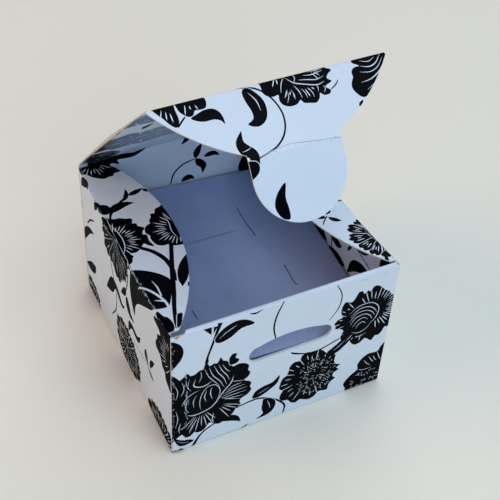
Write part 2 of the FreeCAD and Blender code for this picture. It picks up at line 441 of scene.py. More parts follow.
# The print
# A common floral repeat in one black: full-blown flowers with scalloped petals, comma-shaped
# leaves and thin curling stems, cut by the edges of the panels. Pale veins are left unprinted.
# Each shape is a polygon and its finish; later shapes lie over earlier ones.

def polar(root, angle, length):
    """The place this far from the root, at this angle in radians."""
    return (root[0] + length * math.cos(angle), root[1] + length * math.sin(angle))


def smooth_line(points, spans=5, closed=False):
    """A smooth run through the points, or a smooth loop."""
    if closed:
        course = [tuple(p) for p in points[-1:] + points + points[:2]]
    else:
        before = tuple(2 * a - b for a, b in zip(points[0], points[1]))
        after = tuple(2 * a - b for a, b in zip(points[-1], points[-2]))
        course = [before] + [tuple(p) for p in points] + [after]
    made = []
    for i in range(1, len(course) - 2):
        a, b, c, d = course[i - 1:i + 3]
        for k in range(spans):
            t = k / spans
            made.append(tuple(
                0.5 * (2 * q + (r - p) * t + (2 * p - 5 * q + 4 * r - s) * t * t
                       + (3 * q - p - 3 * r + s) * t ** 3)
                for p, q, r, s in zip(a, b, c, d)
            ))
    return made if closed else made + [tuple(points[-1])]


def stroke(points, widths, finish=ink, spans=5):
    """A brush stroke through the points, as wide at each as its width says."""
    line = smooth_line([tuple(p) + (w,) for p, w in zip(points, widths)], spans)
    left_side, right_side = [], []
    for i, (x, y, width) in enumerate(line):
        before, after = line[max(i - 1, 0)], line[min(i + 1, len(line) - 1)]
        run = math.hypot(after[0] - before[0], after[1] - before[1]) or 1.0
        nx, ny = (before[1] - after[1]) / run, (after[0] - before[0]) / run
        half = max(width, 0.02) / 2
        left_side.append((x + nx * half, y + ny * half))
        right_side.append((x - nx * half, y - ny * half))
    return [(left_side + right_side[::-1], finish)]


def thin(points, width=0.25):
    """A thin stem of one width."""
    return stroke(points, [width * 0.7] + [width] * (len(points) - 2) + [width * 0.7])


def sliver(a, b, width=0.13, finish=bare):
    """A fine straight line, pointed at both ends."""
    run = math.dist(a, b)
    nx, ny = (a[1] - b[1]) / run * width / 2, (b[0] - a[0]) / run * width / 2
    marks = [(a[0] + (b[0] - a[0]) * t, a[1] + (b[1] - a[1]) * t) for t in (0.3, 0.7)]
    left_side = [(x + nx, y + ny) for x, y in marks]
    right_side = [(x - nx, y - ny) for x, y in marks[::-1]]
    return [([a] + left_side + [b] + right_side, finish)]


def vein(points, width=0.16):
    """A pale curved line left unprinted, finest at its ends."""
    return stroke(points, [0.03] + [0.72 * width] * (len(points) - 2) + [0.03], bare, 3)


def pale_lines(width, *lines):
    """Several pale curved lines of one width."""
    return [shape for points in lines for shape in vein(points, width)]


def branch(points):
    """A stout stem between two flowers."""
    return stroke(points, [0.6, 1.0, 0.6])


def outset(shape, gap):
    """The shape with its edge moved out all round."""
    turn = sum(a[0] * b[1] - b[0] * a[1] for a, b in zip(shape, shape[1:] + shape[:1]))
    way = gap if turn > 0 else -gap
    moved = []
    for a, b, c in zip(shape[-1:] + shape[:-1], shape, shape[1:] + shape[:1]):
        run = math.dist(a, c) or 1.0
        moved.append((b[0] + (c[1] - a[1]) / run * way, b[1] - (c[0] - a[0]) / run * way))
    return moved


def laid(shape, gap=0.12):
    """An inked shape that lies over others, with a fine pale line round it."""
    return [(outset(shape, gap), bare), (shape, ink)]


def blot(points, gap=0.12, spans=3):
    """A freely curved inked shape, through these points of its edge."""
    return laid(smooth_line(points, spans, True), gap)


def smooth_patch(points):
    """A broad patch of ink that lies under thick varnish."""
    return [(smooth_line(points, 3, True), pooled)]


def leaf(base, tip, swell, curl=0.0, belly=0.45, midrib=0.0):
    """A pointed leaf that bends by its curl, widest at its belly, with a pale midrib of the given width, if
    any.
    """
    dx, dy = tip[0] - base[0], tip[1] - base[1]
    power = math.log(0.5) / math.log(belly)
    points, widths = [], []
    for i in range(7):
        t = i / 6
        bend = 4 * t * (1 - t) * curl
        points.append((base[0] + dx * t - dy * bend, base[1] + dy * t + dx * bend))
        widths.append(swell * math.sin(math.pi * t ** power) ** 0.85)
    shapes = stroke(points, widths, ink, 3)
    if midrib:
        shapes += vein(points[1:5], midrib)
    return shapes


def ribbed_leaf(base, tip, swell, curl=0.2, belly=0.42):
    """A garden leaf that shows its midrib."""
    return leaf(base, tip, swell, curl, belly, 0.2)


def petal(root, heading, length, spread, lobes=2, veins=3, gap=0.11):
    """A scalloped petal that fans out from its root, with pale veins."""
    angle, half = math.radians(heading), math.radians(spread) / 2
    rim = []
    steps = 4 * lobes
    for i in range(steps + 1):
        u = 2 * i / steps - 1
        scallop = 0.91 + 0.09 * abs(math.sin(math.pi * lobes * i / steps)) ** 0.6
        rim.append(polar(root, angle + half * u, length * scallop * (1 - 0.14 * u * u)))
    waist = [polar(root, angle + half * 0.9 * u, length * 0.5) for u in (1, -1)]
    shapes = laid([waist[1]] + rim + [waist[0], root], gap)
    for i in range(veins):
        u = (i + 1) / (veins + 1) * 2 - 1
        inner = polar(root, angle + half * u * 0.8, length * (0.52 + 0.08 * (i % 2)))
        outer = polar(root, angle + half * u * 0.9, length * (0.74 + 0.08 * ((i + 1) % 2)))
        shapes += sliver(inner, outer, 0.17)
    return shapes


def rays(root, near, far, headings, width=0.17):
    """Fine pale lines that spread from one point, of three lengths in turn."""
    shapes = []
    for i, heading in enumerate(headings):
        angle = math.radians(heading)
        begin, end = near * (1 + 0.12 * (i % 3)), far * (1 - 0.1 * ((i * 2) % 3))
        shapes += sliver(polar(root, angle, begin), polar(root, angle, end), width)
    return shapes


def bloom(root, petals, veins=3):
    """Overlapping petals from one root, each a heading, a length and a spread."""
    shapes = []
    for heading, length, spread in petals:
        shapes += petal(root, heading, length, spread, max(2, round(spread / 13)), veins)
    return shapes


def full_bloom(root, length, count, turn=0.0, veins=3):
    """A whole flower: a ring of long petals under a ring of short ones."""
    step = 360 / count
    outer = [(turn + step * i, length * (1 - 0.06 * (i % 3)), step * 1.3) for i in range(count)]
    inner = [(turn + step * (i + 0.5), length * 0.55, step * 1.5) for i in range(count)]
    return bloom(root, outer, veins) + bloom(root, inner[::2], 1)


def bud(centre, long, short, tilt, ribs=3):
    """A closed oval heart, ribbed by curved pale lines."""
    turn = math.radians(tilt)

    def at(u, v):
        x, y = long / 2 * u, short / 2 * v
        return (
            centre[0] + x * math.cos(turn) - y * math.sin(turn),
            centre[1] + x * math.sin(turn) + y * math.cos(turn),
        )

    ring = [2 * math.pi * i / 18 for i in range(18)]
    shapes = laid([at(math.cos(a), math.sin(a)) for a in ring], 0.18)
    for i in range(ribs):
        v = (i + 1) / (ribs + 1) * 2 - 1
        rib = [at(-0.78, v * 0.4), at(-0.4, v * 0.85), at(0.1, v * 0.95), at(0.72, v * 0.5)]
        shapes += vein(rib, 0.17)
    return shapes


def torn(centre, wide, tall, count, seed, length=1.1):
    """A dense torn heart: many short pale flecks, scattered over the ink."""
    dice = random.Random(seed)
    shapes = []
    for _ in range(count):
        angle, share = dice.uniform(0, 2 * math.pi), math.sqrt(dice.random())
        x = centre[0] + wide * share * math.cos(angle)
        y = centre[1] + tall * share * math.sin(angle)
        lean = angle + dice.uniform(-0.9, 0.9)
        shapes += sliver((x, y), polar((x, y), lean, length * dice.uniform(0.4, 1.0)), 0.095)
    return shapes


def scuffs_and_painted_streaks(a, b, count, seed, spread=0.16, length=0.9, finish=wear_and_painted_light):
    """Short pale marks along a line: scuffs where handling has cracked the coat and the ink of a fold, and,
    on the front's bent corner, painted highlight streaks.
    """
    dice = random.Random(seed)
    lean = math.atan2(b[1] - a[1], b[0] - a[0])
    shapes = []
    for _ in range(count):
        t, off = dice.random(), dice.gauss(0, spread)
        x = a[0] + (b[0] - a[0]) * t - math.sin(lean) * off
        y = a[1] + (b[1] - a[1]) * t + math.cos(lean) * off
        end = polar((x, y), lean + dice.uniform(-0.25, 0.25), length * dice.uniform(0.2, 1.0))
        shapes += sliver((x, y), end, dice.uniform(0.06, 0.14), finish)
    return shapes


def on(panel, *groups):
    """Shapes drawn on a panel, moved to the panel's place on the blank."""
    return [([panel(*point) for point in shape], finish) for group in groups for shape, finish in group]


# Where each panel lies on the blank: along it, and up from the floor or in from its fold, in mm.
print_squeeze = 0.988                   # the front's print ends this share of the way up
flap_print_slip, slip_within = 0.9, 7   # the left flap's print slips forwards, all of it by there


def front_wall(x, z):
    return (x, -half_depth - z * print_squeeze)


def front_lining(x, z):
    return (x, -rim_line - roll_gap - wall_height + z)


def left_wall(y, z):
    return (-half_width - z, y)


def left_flap(y, inward):
    slip = flap_print_slip * min(1.0, max(0.0, inward / slip_within))
    return (-half_width - wall_height - inward, y - slip)


def right_wall(y, z):
    return (half_width + z, y)


def right_flap(y, inward):
    return (half_width + wall_height + inward, y)


def back_wall(x, z):
    return (x, half_depth + z)


def floor_panel(x, y):
    return (x, y)


def lid_top(x, forward):
    return (x, lid_start + forward)


def lid_flap(x, down):
    return (x, flap_start + down)


def lid_tongue(x, down):
    return (x, tongue_start + down)


front_print = on(
    front_wall,
    # half a leaf and a curled leaf at the left edge
    blot([(-25.4, 36.6), (-23.6, 36.2), (-22.7, 34.6), (-22.7, 32.6), (-23.6, 30.4), (-25.4, 28.6)]),
    blot([(-24.6, 5.2), (-23.2, 4.4), (-21.6, 3.8), (-20.1, 2.4), (-21.8, 1.9), (-23.6, 2.3)]),
    vein([(-24.0, 4.1), (-22.6, 3.2), (-21.2, 2.6)], 0.14),
    leaf((-15.2, 5.8), (-9.2, 3.0), 2.0, 0.20, 0.5),
    # the large flower, as one ragged dark shape with its petals drawn in pale lines
    blot([
        (-25.6, 24.6), (-24.4, 26.4), (-23.4, 25.0), (-22.0, 26.8), (-21.2, 25.5), (-20.0, 25.2),
        (-19.0, 25.8), (-18.2, 25.6), (-17.6, 28.0), (-16.9, 25.9), (-15.9, 26.3), (-15.1, 26.0),
        (-14.5, 27.6), (-13.9, 26.2), (-13.0, 25.7), (-12.3, 24.3), (-11.6, 23.2), (-10.4, 23.5),
        (-9.0, 23.0), (-8.0, 21.8), (-8.2, 20.4), (-7.6, 19.4), (-8.1, 18.1), (-9.0, 17.4),
        (-7.9, 16.6), (-7.2, 15.7), (-7.5, 14.5), (-7.1, 13.4), (-8.0, 12.0), (-9.4, 11.4),
        (-9.7, 10.3), (-9.4, 9.3), (-10.5, 8.5), (-11.2, 7.0), (-12.4, 6.2), (-14.2, 5.0), (-15.6, 5.8),
        (-16.6, 6.6), (-17.6, 5.0), (-18.4, 4.6), (-19.4, 4.8), (-20.1, 5.4), (-21.0, 4.6),
        (-22.2, 5.0), (-23.0, 6.4), (-24.2, 5.0), (-25.6, 5.2),
    ], gap=0.0, spans=2),
    blot([
        (-12.4, 24.2), (-12.6, 26.0), (-11.9, 27.3), (-10.9, 27.0), (-11.2, 25.9), (-10.3, 24.9),
        (-10.9, 24.0), (-12.0, 23.9),
    ]),
    vein([
        (-11.4, 20.2), (-11.9, 18.0), (-13.3, 16.2), (-14.5, 14.3), (-15.5, 12.6), (-16.8, 11.6),
        (-18.7, 11.3), (-20.5, 11.7), (-21.9, 12.9),
    ], 0.34),
    vein([(-12.2, 18.6), (-10.6, 17.9), (-8.9, 17.4)], 0.2),
    vein([(-14.4, 14.3), (-12.0, 12.6), (-9.6, 11.5)], 0.22),
    pale_lines(
        0.24,
        [(-12.9, 15.7), (-11.2, 16.7), (-9.4, 16.8)],
        [(-13.6, 14.9), (-11.4, 15.7), (-8.6, 15.9)],
        [(-13.9, 14.2), (-11.4, 14.7), (-8.2, 14.8)],
        [(-13.8, 13.6), (-11.6, 13.7), (-8.3, 13.6)],
        [(-13.2, 12.9), (-11.4, 12.8), (-8.9, 12.4)],
    ),
    vein([(-24.2, 15.0), (-23.8, 12.0), (-24.3, 9.0)], 0.18),
    vein([(-23.2, 10.6), (-23.6, 8.6), (-23.4, 6.9)], 0.2),
    vein([(-18.9, 19.2), (-20.6, 19.3), (-22.3, 18.6), (-23.0, 16.4)], 0.24),
    pale_lines(
        0.18,
        [(-24.6, 24.0), (-23.8, 21.4), (-24.2, 18.6)],
        [(-23.0, 24.4), (-22.6, 22.0), (-23.2, 19.8)],
    ),
    rays((-15.4, 12.6), 2.0, 7.4, (-62, -50, -38, -29)),
    rays((-18.4, 12.4), 1.8, 7.4, (-140, -127, -114, -102, -90, -79, -68, -56)),
    vein([(-15.6, 9.6), (-15.9, 7.6), (-15.5, 5.9)], 0.3),
    vein([(-20.2, 9.0), (-21.0, 7.2), (-21.3, 5.8)], 0.24),
    # its curved bud
    pale_lines(
        0.22,
        [(-16.9, 25.4), (-16.0, 22.4), (-14.4, 19.8), (-13.4, 17.2)],
        [(-15.9, 25.6), (-14.9, 22.8), (-13.6, 20.4), (-12.9, 18.0)],
        [(-14.9, 25.4), (-14.0, 23.0), (-12.9, 21.0), (-12.3, 19.2)],
    ),
    vein([(-14.0, 25.0), (-13.2, 23.2), (-12.3, 21.8)], 0.2),
    vein([(-17.9, 25.6), (-17.0, 22.6), (-15.6, 20.2), (-14.4, 18.2)], 0.18),
    vein([(-19.9, 23.6), (-20.4, 21.8), (-19.2, 20.4), (-17.6, 20.0), (-16.2, 20.8)], 0.34),
    pale_lines(
        0.2,
        [(-18.8, 25.2), (-18.6, 23.4), (-19.2, 21.8)],
        [(-21.4, 24.4), (-21.8, 22.4), (-21.0, 20.4)],
    ),
    # the oval heart and the petal to its left
    vein([
        (-18.6, 12.4), (-18.9, 15.0), (-18.3, 17.8), (-16.9, 19.4), (-15.2, 18.9), (-14.3, 16.6),
        (-14.9, 13.8),
    ], 0.22),
    pale_lines(
        0.28,
        [(-17.3, 18.2), (-17.8, 16.4), (-17.4, 14.4)],
        [(-16.2, 18.7), (-16.5, 16.8), (-16.0, 14.6)],
    ),
    vein([(-22.0, 17.8), (-22.3, 15.4), (-21.4, 13.4)], 0.2),
    vein([(-19.6, 18.0), (-20.4, 16.6), (-20.3, 14.4)], 0.26),
    # stems and leaves over it
    stroke([
        (-17.5, 27.2), (-17.3, 29.0), (-16.4, 32.2), (-15.6, 35.2), (-14.8, 38.2),
    ], [0.9, 0.5, 0.55, 0.65, 1.0]),
    blot([
        (-15.8, 32.9), (-14.6, 32.1), (-12.4, 32.8), (-10.2, 34.5), (-7.4, 34.7), (-9.2, 36.6),
        (-11.6, 37.2), (-14.0, 36.2), (-15.6, 34.4),
    ]),
    vein([(-14.9, 33.4), (-13.6, 34.6), (-12.2, 35.4), (-11.3, 35.9)], 0.22),
    [
        ([(-18.4, 37.8), (-16.6, 37.7), (-16.6, 35.4)], ink),
        ([(-16.2, 37.6), (-16.2, 35.5), (-15.4, 37.4)], ink),
    ],
    stroke([(-8.6, 38.2), (-7.4, 37.6), (-5.8, 38.1)], [0.15, 0.5, 0.15]),
    thin([(-1.2, 38.4), (-2.5, 35.0), (-3.0, 31.2), (-2.3, 27.2)], 0.4),
    thin([(10.6, 38.0), (12.0, 34.6), (11.7, 30.8), (9.8, 27.7)], 0.28),
    stroke([
        (1.5, 21.3), (2.4, 20.5), (5.2, 19.2), (8.4, 18.9), (13.0, 20.4),
    ], [0.2, 0.5, 0.36, 0.42, 0.42]),
    # stems and leaves along the foot
    stroke([(-20.4, 0.2), (-18.8, 3.2), (-17.0, 4.8), (-15.0, 5.8)], [0.9, 0.6, 0.5, 0.4]),
    thin([
        (-10.4, 8.5), (-7.4, 9.1), (-5.0, 9.0), (-2.4, 7.6), (-0.2, 5.6), (1.3, 3.2), (1.1, 0.3),
    ], 0.5),
    blot([
        (-6.7, 9.8), (-6.2, 11.8), (-4.4, 12.8), (-2.2, 13.2), (-0.6, 14.8), (-1.0, 12.4), (-2.8, 10.8),
        (-5.0, 9.6),
    ]),
    vein([(-5.6, 10.6), (-4.2, 11.2), (-2.8, 12.0)], 0.14),
    blot([
        (-4.0, 8.2), (-2.4, 7.8), (-1.1, 6.2), (-1.1, 4.0), (-2.4, 2.2), (-5.4, 1.7), (-3.9, 3.0),
        (-4.3, 4.8), (-4.2, 6.6),
    ]),
    vein([(-3.1, 7.2), (-2.5, 5.6), (-2.2, 4.0)], 0.22),
    stroke([(-8.8, 0.1), (-7.4, 1.1)], [0.8, 0.2]),
    # the torn flower at the middle, scattered with pale flecks
    blot([
        (-0.3, 11.4), (0.2, 13.1), (1.1, 13.7), (1.5, 15.2), (1.7, 16.6), (2.7, 17.5), (4.0, 17.3),
        (4.3, 18.8), (5.6, 19.4), (6.6, 18.9), (7.6, 18.8), (8.6, 18.9), (9.5, 18.0), (10.4, 16.8),
        (11.6, 16.4), (12.7, 15.0), (12.5, 13.3), (13.1, 11.8), (14.3, 11.1), (13.3, 10.4), (14.1, 9.5),
        (12.9, 8.9), (12.7, 7.6), (13.5, 6.8), (12.5, 6.0), (11.9, 4.8), (11.8, 3.4), (10.5, 3.7),
        (9.5, 3.8), (8.6, 2.6), (7.2, 2.2), (6.0, 2.8), (5.0, 3.3), (4.0, 2.7), (2.8, 3.4), (2.0, 4.7),
        (0.7, 5.0), (-0.1, 6.1), (0.0, 7.5), (0.5, 8.7), (-0.4, 9.7),
    ], gap=0.0, spans=2),
    rays(
        (7.4, 11.0), 4.6, 8.4,
        (84, 95, 104, 118, 130, 143, 156, 170, 184, 197, 211, 226, 240, 256, 270, 284), 0.18,
    ),
    torn((8.4, 10.6), 4.2, 6.2, 170, 3, 0.9),
    # its stalk, and the flower with the ribbed heart
    stroke([(10.8, 16.2), (12.4, 17.0), (14.0, 18.4), (15.6, 20.2)], [2.0, 2.5, 2.4, 2.4]),
    vein([(12.0, 16.8), (13.2, 17.8), (14.6, 19.2)], 0.2),
    blot([
        (11.2, 25.7), (11.9, 26.8), (13.0, 27.1), (12.5, 28.6), (12.5, 30.4), (13.2, 31.8),
        (14.4, 31.2), (15.2, 31.6), (16.0, 33.5), (16.9, 33.6), (17.5, 32.5), (18.3, 33.3),
        (18.9, 32.6), (19.5, 33.9), (20.6, 33.8), (21.6, 32.8), (22.6, 31.6), (23.6, 30.8),
        (24.4, 29.4), (25.6, 28.0), (25.6, 19.6), (24.2, 19.2), (23.6, 17.9), (22.9, 17.0),
        (22.0, 17.2), (21.3, 15.9), (20.4, 16.7), (19.4, 17.5), (18.4, 16.5), (17.0, 16.4),
        (16.0, 17.6), (15.4, 19.0), (14.0, 19.0), (13.2, 20.2), (13.3, 21.6), (13.7, 22.6),
        (12.8, 23.5), (11.6, 24.0), (11.6, 25.0),
    ], gap=0.0, spans=2),
    rays((20.2, 25.2), 4.0, 8.8, (30, 38, 46, 54, 62, 71, 80, 89, 98, 107, 117), 0.17),
    rays((20.8, 25.8), 2.6, 6.6, (16, 7, -2, -10, -18, -26, -34, -42, -51, -60, -70, -81), 0.2),
    rays((18.0, 25.2), 4.4, 7.4, (124, 134, 144, 155, 168, 181, 194, 207, 220), 0.17),
    rays((18.6, 23.0), 3.6, 5.8, (-96, -108, -120, -132), 0.16),
    pale_lines(
        0.24,
        [
            (14.6, 27.4), (16.6, 29.0), (19.2, 29.1), (21.0, 27.8), (21.8, 25.8), (21.2, 23.4),
            (19.8, 21.8),
        ],
        [(14.9, 26.2), (16.8, 28.0), (19.0, 27.9), (20.6, 26.6), (21.3, 25.2)],
    ),
    vein([(14.9, 24.8), (16.4, 26.8), (18.6, 26.9), (20.2, 25.8), (20.9, 24.4)], 0.2),
    vein([(15.2, 23.6), (16.2, 25.4), (18.2, 25.9), (19.8, 24.8), (20.4, 23.4)], 0.22),
    vein([(15.8, 22.6), (16.8, 24.2), (18.2, 24.8), (19.4, 23.8)], 0.2),
    pale_lines(
        0.22,
        [(16.6, 21.8), (17.4, 23.2), (18.4, 23.4), (19.0, 22.6)],
        [(15.8, 21.0), (17.4, 20.2), (19.0, 20.6), (20.2, 21.8)],
    ),
    vein([(16.8, 19.2), (18.2, 18.8), (19.6, 19.4)], 0.2),
    # the flower cut off by the foot's right corner
    blot([
        (25.6, 12.9), (24.2, 12.6), (23.6, 11.2), (22.4, 11.2), (21.0, 11.3), (19.6, 10.2), (18.8, 8.6),
        (19.0, 6.9), (17.6, 5.7), (16.5, 4.4), (15.9, 3.0), (16.5, 1.4), (17.4, -0.4), (25.6, -0.4),
    ], gap=0.0),
    vein([(23.5, 11.0), (24.2, 9.0), (24.8, 7.6)], 0.26),
    vein([(19.0, 6.8), (20.6, 6.0), (22.8, 5.9)], 0.2),
    pale_lines(0.24, [(20.4, 9.4), (21.2, 8.0), (22.2, 6.9)], [(21.5, 10.2), (22.2, 8.8), (23.0, 7.6)]),
    vein([(22.6, 10.0), (23.1, 8.8), (23.7, 7.8)], 0.22),
    torn((21.4, 2.8), 3.8, 2.6, 40, 22),
    # painted highlight streaks along the bent corner's crest, and scuffs on its edge and along the rim
    scuffs_and_painted_streaks((-22.1, 8.0), (-22.0, 27.0), 46, 61, 0.22, 1.8),
    scuffs_and_painted_streaks((-24.75, 1.0), (-24.75, 36.0), 60, 62, 0.12),
    scuffs_and_painted_streaks((13.0, 37.3), (23.0, 36.8), 9, 63, 0.08),
)

left_print = on(
    left_flap,
    # the two half-open flowers and the stems that carry them
    blot([
        (-3.6, 14.0), (-3.6, 12.6), (-3.3, 10.9), (-2.5, 10.1), (-2.4, 8.7), (-1.7, 7.6), (-0.5, 7.2),
        (0.6, 7.1), (1.3, 7.3), (2.1, 6.8), (3.3, 6.9), (4.2, 7.6), (4.7, 8.7), (5.3, 8.6), (6.3, 9.4),
        (7.2, 9.6), (7.2, 10.6), (8.2, 11.0), (8.6, 12.3), (8.7, 14.0),
    ], gap=0.0),
    rays(
        (1.4, 13.8), 2.4, 5.7,
        (187, 198, 209, 220, 230, 240, 249, 258, 267, 276, 285, 294, 304, 315, 328, 342), 0.18,
    ),
    vein([(-1.4, 12.4), (0.8, 11.9), (3.6, 12.3), (6.2, 12.0)], 0.24),
    blot([(-1.9, 7.0), (0.0, 6.6), (1.8, 6.8), (1.6, 5.4), (-0.6, 5.4)]),
    stroke([
        (-2.2, 10.5), (-5.8, 9.1), (-9.8, 7.5), (-15.0, 5.6), (-19.4, 3.8), (-24.4, 2.0),
    ], [0.9, 0.9, 1.0, 0.9, 0.8, 0.7]),
    stroke([
        (-12.4, 7.2), (-9.4, 7.8), (-6.2, 7.6), (-3.4, 6.2), (-1.6, 4.2),
    ], [0.4, 0.9, 1.0, 1.0, 0.9]),
    blot([
        (-6.2, -0.4), (-5.7, 0.5), (-5.1, 1.3), (-4.2, 1.7), (-3.5, 2.1), (-2.7, 1.7), (-2.7, 2.8),
        (-2.2, 3.8), (-1.3, 4.6), (-0.3, 5.5), (0.9, 5.4), (1.6, 6.1), (2.7, 6.2), (3.9, 7.1),
        (4.7, 6.0), (5.6, 6.0), (5.8, 5.2), (6.8, 5.6), (7.4, 5.3), (7.5, 4.4), (8.0, 3.3), (8.0, 2.2),
        (8.4, 1.2), (8.2, -0.4),
    ], gap=0.0),
    rays(
        (1.6, -0.2), 2.6, 5.6, (17, 26, 35, 44, 53, 62, 71, 80, 89, 98, 108, 118, 129, 141, 154), 0.18,
    ),
    vein([(-2.6, 0.5), (-0.4, 1.5), (2.0, 1.8), (4.6, 1.4), (7.0, 0.6)], 0.26),
    leaf((-14.3, 7.7), (-6.2, 12.4), 2.3, -0.03),
    stroke([(-14.6, 8.8), (-13.6, 9.3)], [0.3, 0.3]),
    # the big leaf that hangs over the fold
    blot([
        (-18.1, 3.5), (-15.6, 4.9), (-13.0, 6.1), (-11.2, 6.1), (-9.2, 4.4), (-7.6, 1.6), (-7.0, -1.6),
        (-6.3, -5.4), (-6.6, -9.4), (-7.9, -12.9), (-8.8, -9.4), (-10.6, -6.6), (-14.4, -3.6),
        (-18.2, -0.6), (-18.8, 2.4),
    ], gap=0.0, spans=4),
    stroke([
        (-20.2, 2.7), (-17.4, 3.0), (-14.6, 2.0), (-12.6, 0.5), (-11.2, -1.6),
    ], [0.5, 0.5, 0.55, 0.45, 0.1], bare),
    stroke([(-17.0, 2.8), (-16.4, 1.2)], [0.5, 0.1], bare),
    stroke([(-15.6, 2.9), (-13.2, 3.1), (-11.2, 2.8)], [0.3, 0.3, 0.06], bare),
    stroke([(-13.5, 1.2), (-12.6, 0.2), (-12.4, -0.6)], [0.3, 0.3, 0.06], bare),
    # the tuft at the front
    blot([(-24.4, 2.2), (-23.6, 3.4), (-22.4, 4.0), (-21.0, 4.7), (-21.0, 3.7), (-22.6, 2.9)]),
    blot([
        (-25.2, 0.2), (-24.6, 1.5), (-23.0, 2.0), (-21.2, 1.6), (-21.0, 0.4), (-21.6, -0.8),
        (-25.2, -0.8),
    ]),
    vein([(-24.6, 0.8), (-23.2, 1.3), (-21.6, 1.0)], 0.2),
    # the berry, its leaf and the sprig
    bud((11.3, 1.1), 3.2, 2.9, 0, 0),
    thin([(8.0, 1.4), (9.4, 1.9), (11.0, 3.2), (13.0, 5.4), (14.4, 7.2)], 0.55),
    leaf((9.8, 1.8), (11.8, 7.8), 2.0, -0.14, 0.4),
    leaf((12.8, 5.6), (16.5, 7.2), 1.0, 0.12),
    leaf((14.4, 7.2), (15.4, 10.8), 1.3, 0.05),
    leaf((15.2, 10.6), (13.9, 12.4), 0.8, 0.1),
    leaf((15.4, 11.0), (16.6, 11.7), 0.5, 0.1),
    # the flower over the back corner
    blot([
        (27.4, -0.6), (23.6, -0.4), (23.2, 0.8), (22.2, 1.6), (21.4, 2.7), (20.8, 4.1), (21.2, 5.3),
        (21.3, 6.3), (22.0, 6.6), (22.3, 8.4), (23.6, 7.6), (24.4, 6.7), (25.6, 6.4), (27.4, 5.4),
    ], gap=0.0),
    rays((26.8, 2.8), 2.0, 4.8, (128, 142, 156, 168, 180, 193, 207, 221), 0.18),
    bud((20.0, -0.4), 2.2, 1.3, 0, 0),
    # the print has cracked along the fold
    scuffs_and_painted_streaks((-26.0, 0.25), (9.0, 0.25), 190, 71, 0.14),
    scuffs_and_painted_streaks((9.0, 0.2), (26.0, 0.2), 40, 72, 0.1),
) + on(
    left_wall,
    bloom((1.6, 38.6), [
        (196, 8.0, 30), (-14, 8.4, 30), (218, 8.6, 30), (-34, 9.6, 28), (238, 9.6, 28), (-54, 11.6, 26),
        (258, 10.4, 26), (-74, 10.6, 26), (-92, 12.0, 26),
    ], 1),
    thin([(-5.8, 35.6), (-4.8, 31.6), (-3.4, 28.0)], 0.4),
    leaf((-3.4, 29.0), (0.0, 24.4), 1.8, -0.08),
    blot([
        (-4.0, 26.6), (-2.9, 25.4), (-3.0, 23.0), (-4.6, 21.2), (-7.4, 22.0), (-5.6, 23.0),
        (-5.1, 24.8),
    ]),
    stroke([
        (-1.4, 20.8), (0.4, 19.9), (2.6, 22.0), (5.0, 22.2), (7.4, 18.8), (10.6, 15.6),
    ], [0.3, 1.6, 2.2, 2.8, 3.0, 0.3]),
    stroke([
        (-10.4, 20.4), (-8.6, 18.2), (-6.0, 18.9), (-4.4, 18.4), (-3.1, 15.2),
    ], [0.3, 1.8, 1.7, 1.8, 0.3]),
    leaf((-17.9, 20.6), (-15.4, 16.0), 1.4, 0.1),
    leaf((-13.6, 20.4), (-14.6, 15.6), 1.6, 0.15),
    leaf((-17.2, 13.8), (-14.2, 15.4), 1.1, -0.1),
    thin([(-14.8, 15.8), (-10.0, 15.0), (-5.0, 15.0)], 0.2),
    thin([(5.6, 29.0), (5.2, 26.6), (4.2, 22.4)], 0.5),
    thin([(3.6, 20.4), (4.8, 14.0), (8.4, 8.4)], 0.4),
    # the full flower near the foot
    bloom((-1.0, 7.2), [
        (20, 7.0, 34), (47, 7.8, 34), (74, 8.0, 34), (101, 8.0, 34), (128, 8.0, 34), (155, 8.0, 34),
        (182, 8.2, 34), (209, 8.6, 34), (236, 8.2, 34), (263, 8.0, 34), (290, 7.6, 34), (317, 7.2, 34),
        (344, 7.0, 34),
    ]),
    torn((-1.0, 7.2), 3.6, 3.6, 26, 9),
    bloom((-20.4, -2.2), [
        (172, 7.4, 30), (150, 9.4, 28), (128, 9.6, 28), (106, 9.2, 28), (84, 9.6, 28), (62, 9.6, 28),
        (38, 9.4, 28),
    ]),
    bloom((22.4, -1.4), [(154, 5.6, 32), (128, 6.8, 30), (102, 7.2, 30), (76, 7.4, 30), (48, 6.8, 30)]),
    # the tuft cut by the front edge, leaves and stems towards the back
    blot([
        (-27.4, 38.6), (-19.4, 38.6), (-20.6, 37.2), (-19.0, 36.8), (-18.8, 35.4), (-20.8, 34.8),
        (-21.6, 33.4), (-20.2, 32.6), (-20.0, 30.8), (-19.2, 29.4), (-19.4, 27.8), (-21.0, 27.2),
        (-21.8, 25.8), (-22.2, 24.6), (-23.4, 24.0), (-23.6, 22.4), (-25.0, 21.2), (-27.4, 21.0),
    ], gap=0.0, spans=2),
    rays((-27.4, 30.0), 3.0, 6.8, (-58, -44, -32, -21, -10, 0, 10, 21, 33, 46, 58), 0.16),
    thin([(16.2, 30.4), (19.4, 28.0), (22.4, 24.4)], 0.5),
    leaf((12.0, 38.8), (14.8, 35.0), 1.8, 0.1),
    leaf((19.2, 38.2), (25.0, 33.6), 2.4, 0.1),
    stroke([(17.8, 25.2), (21.0, 23.4), (24.4, 19.8), (26.0, 16.6)], [0.4, 1.6, 2.2, 1.0]),
    leaf((18.6, 13.8), (26.2, 8.4), 3.0, -0.08),
)

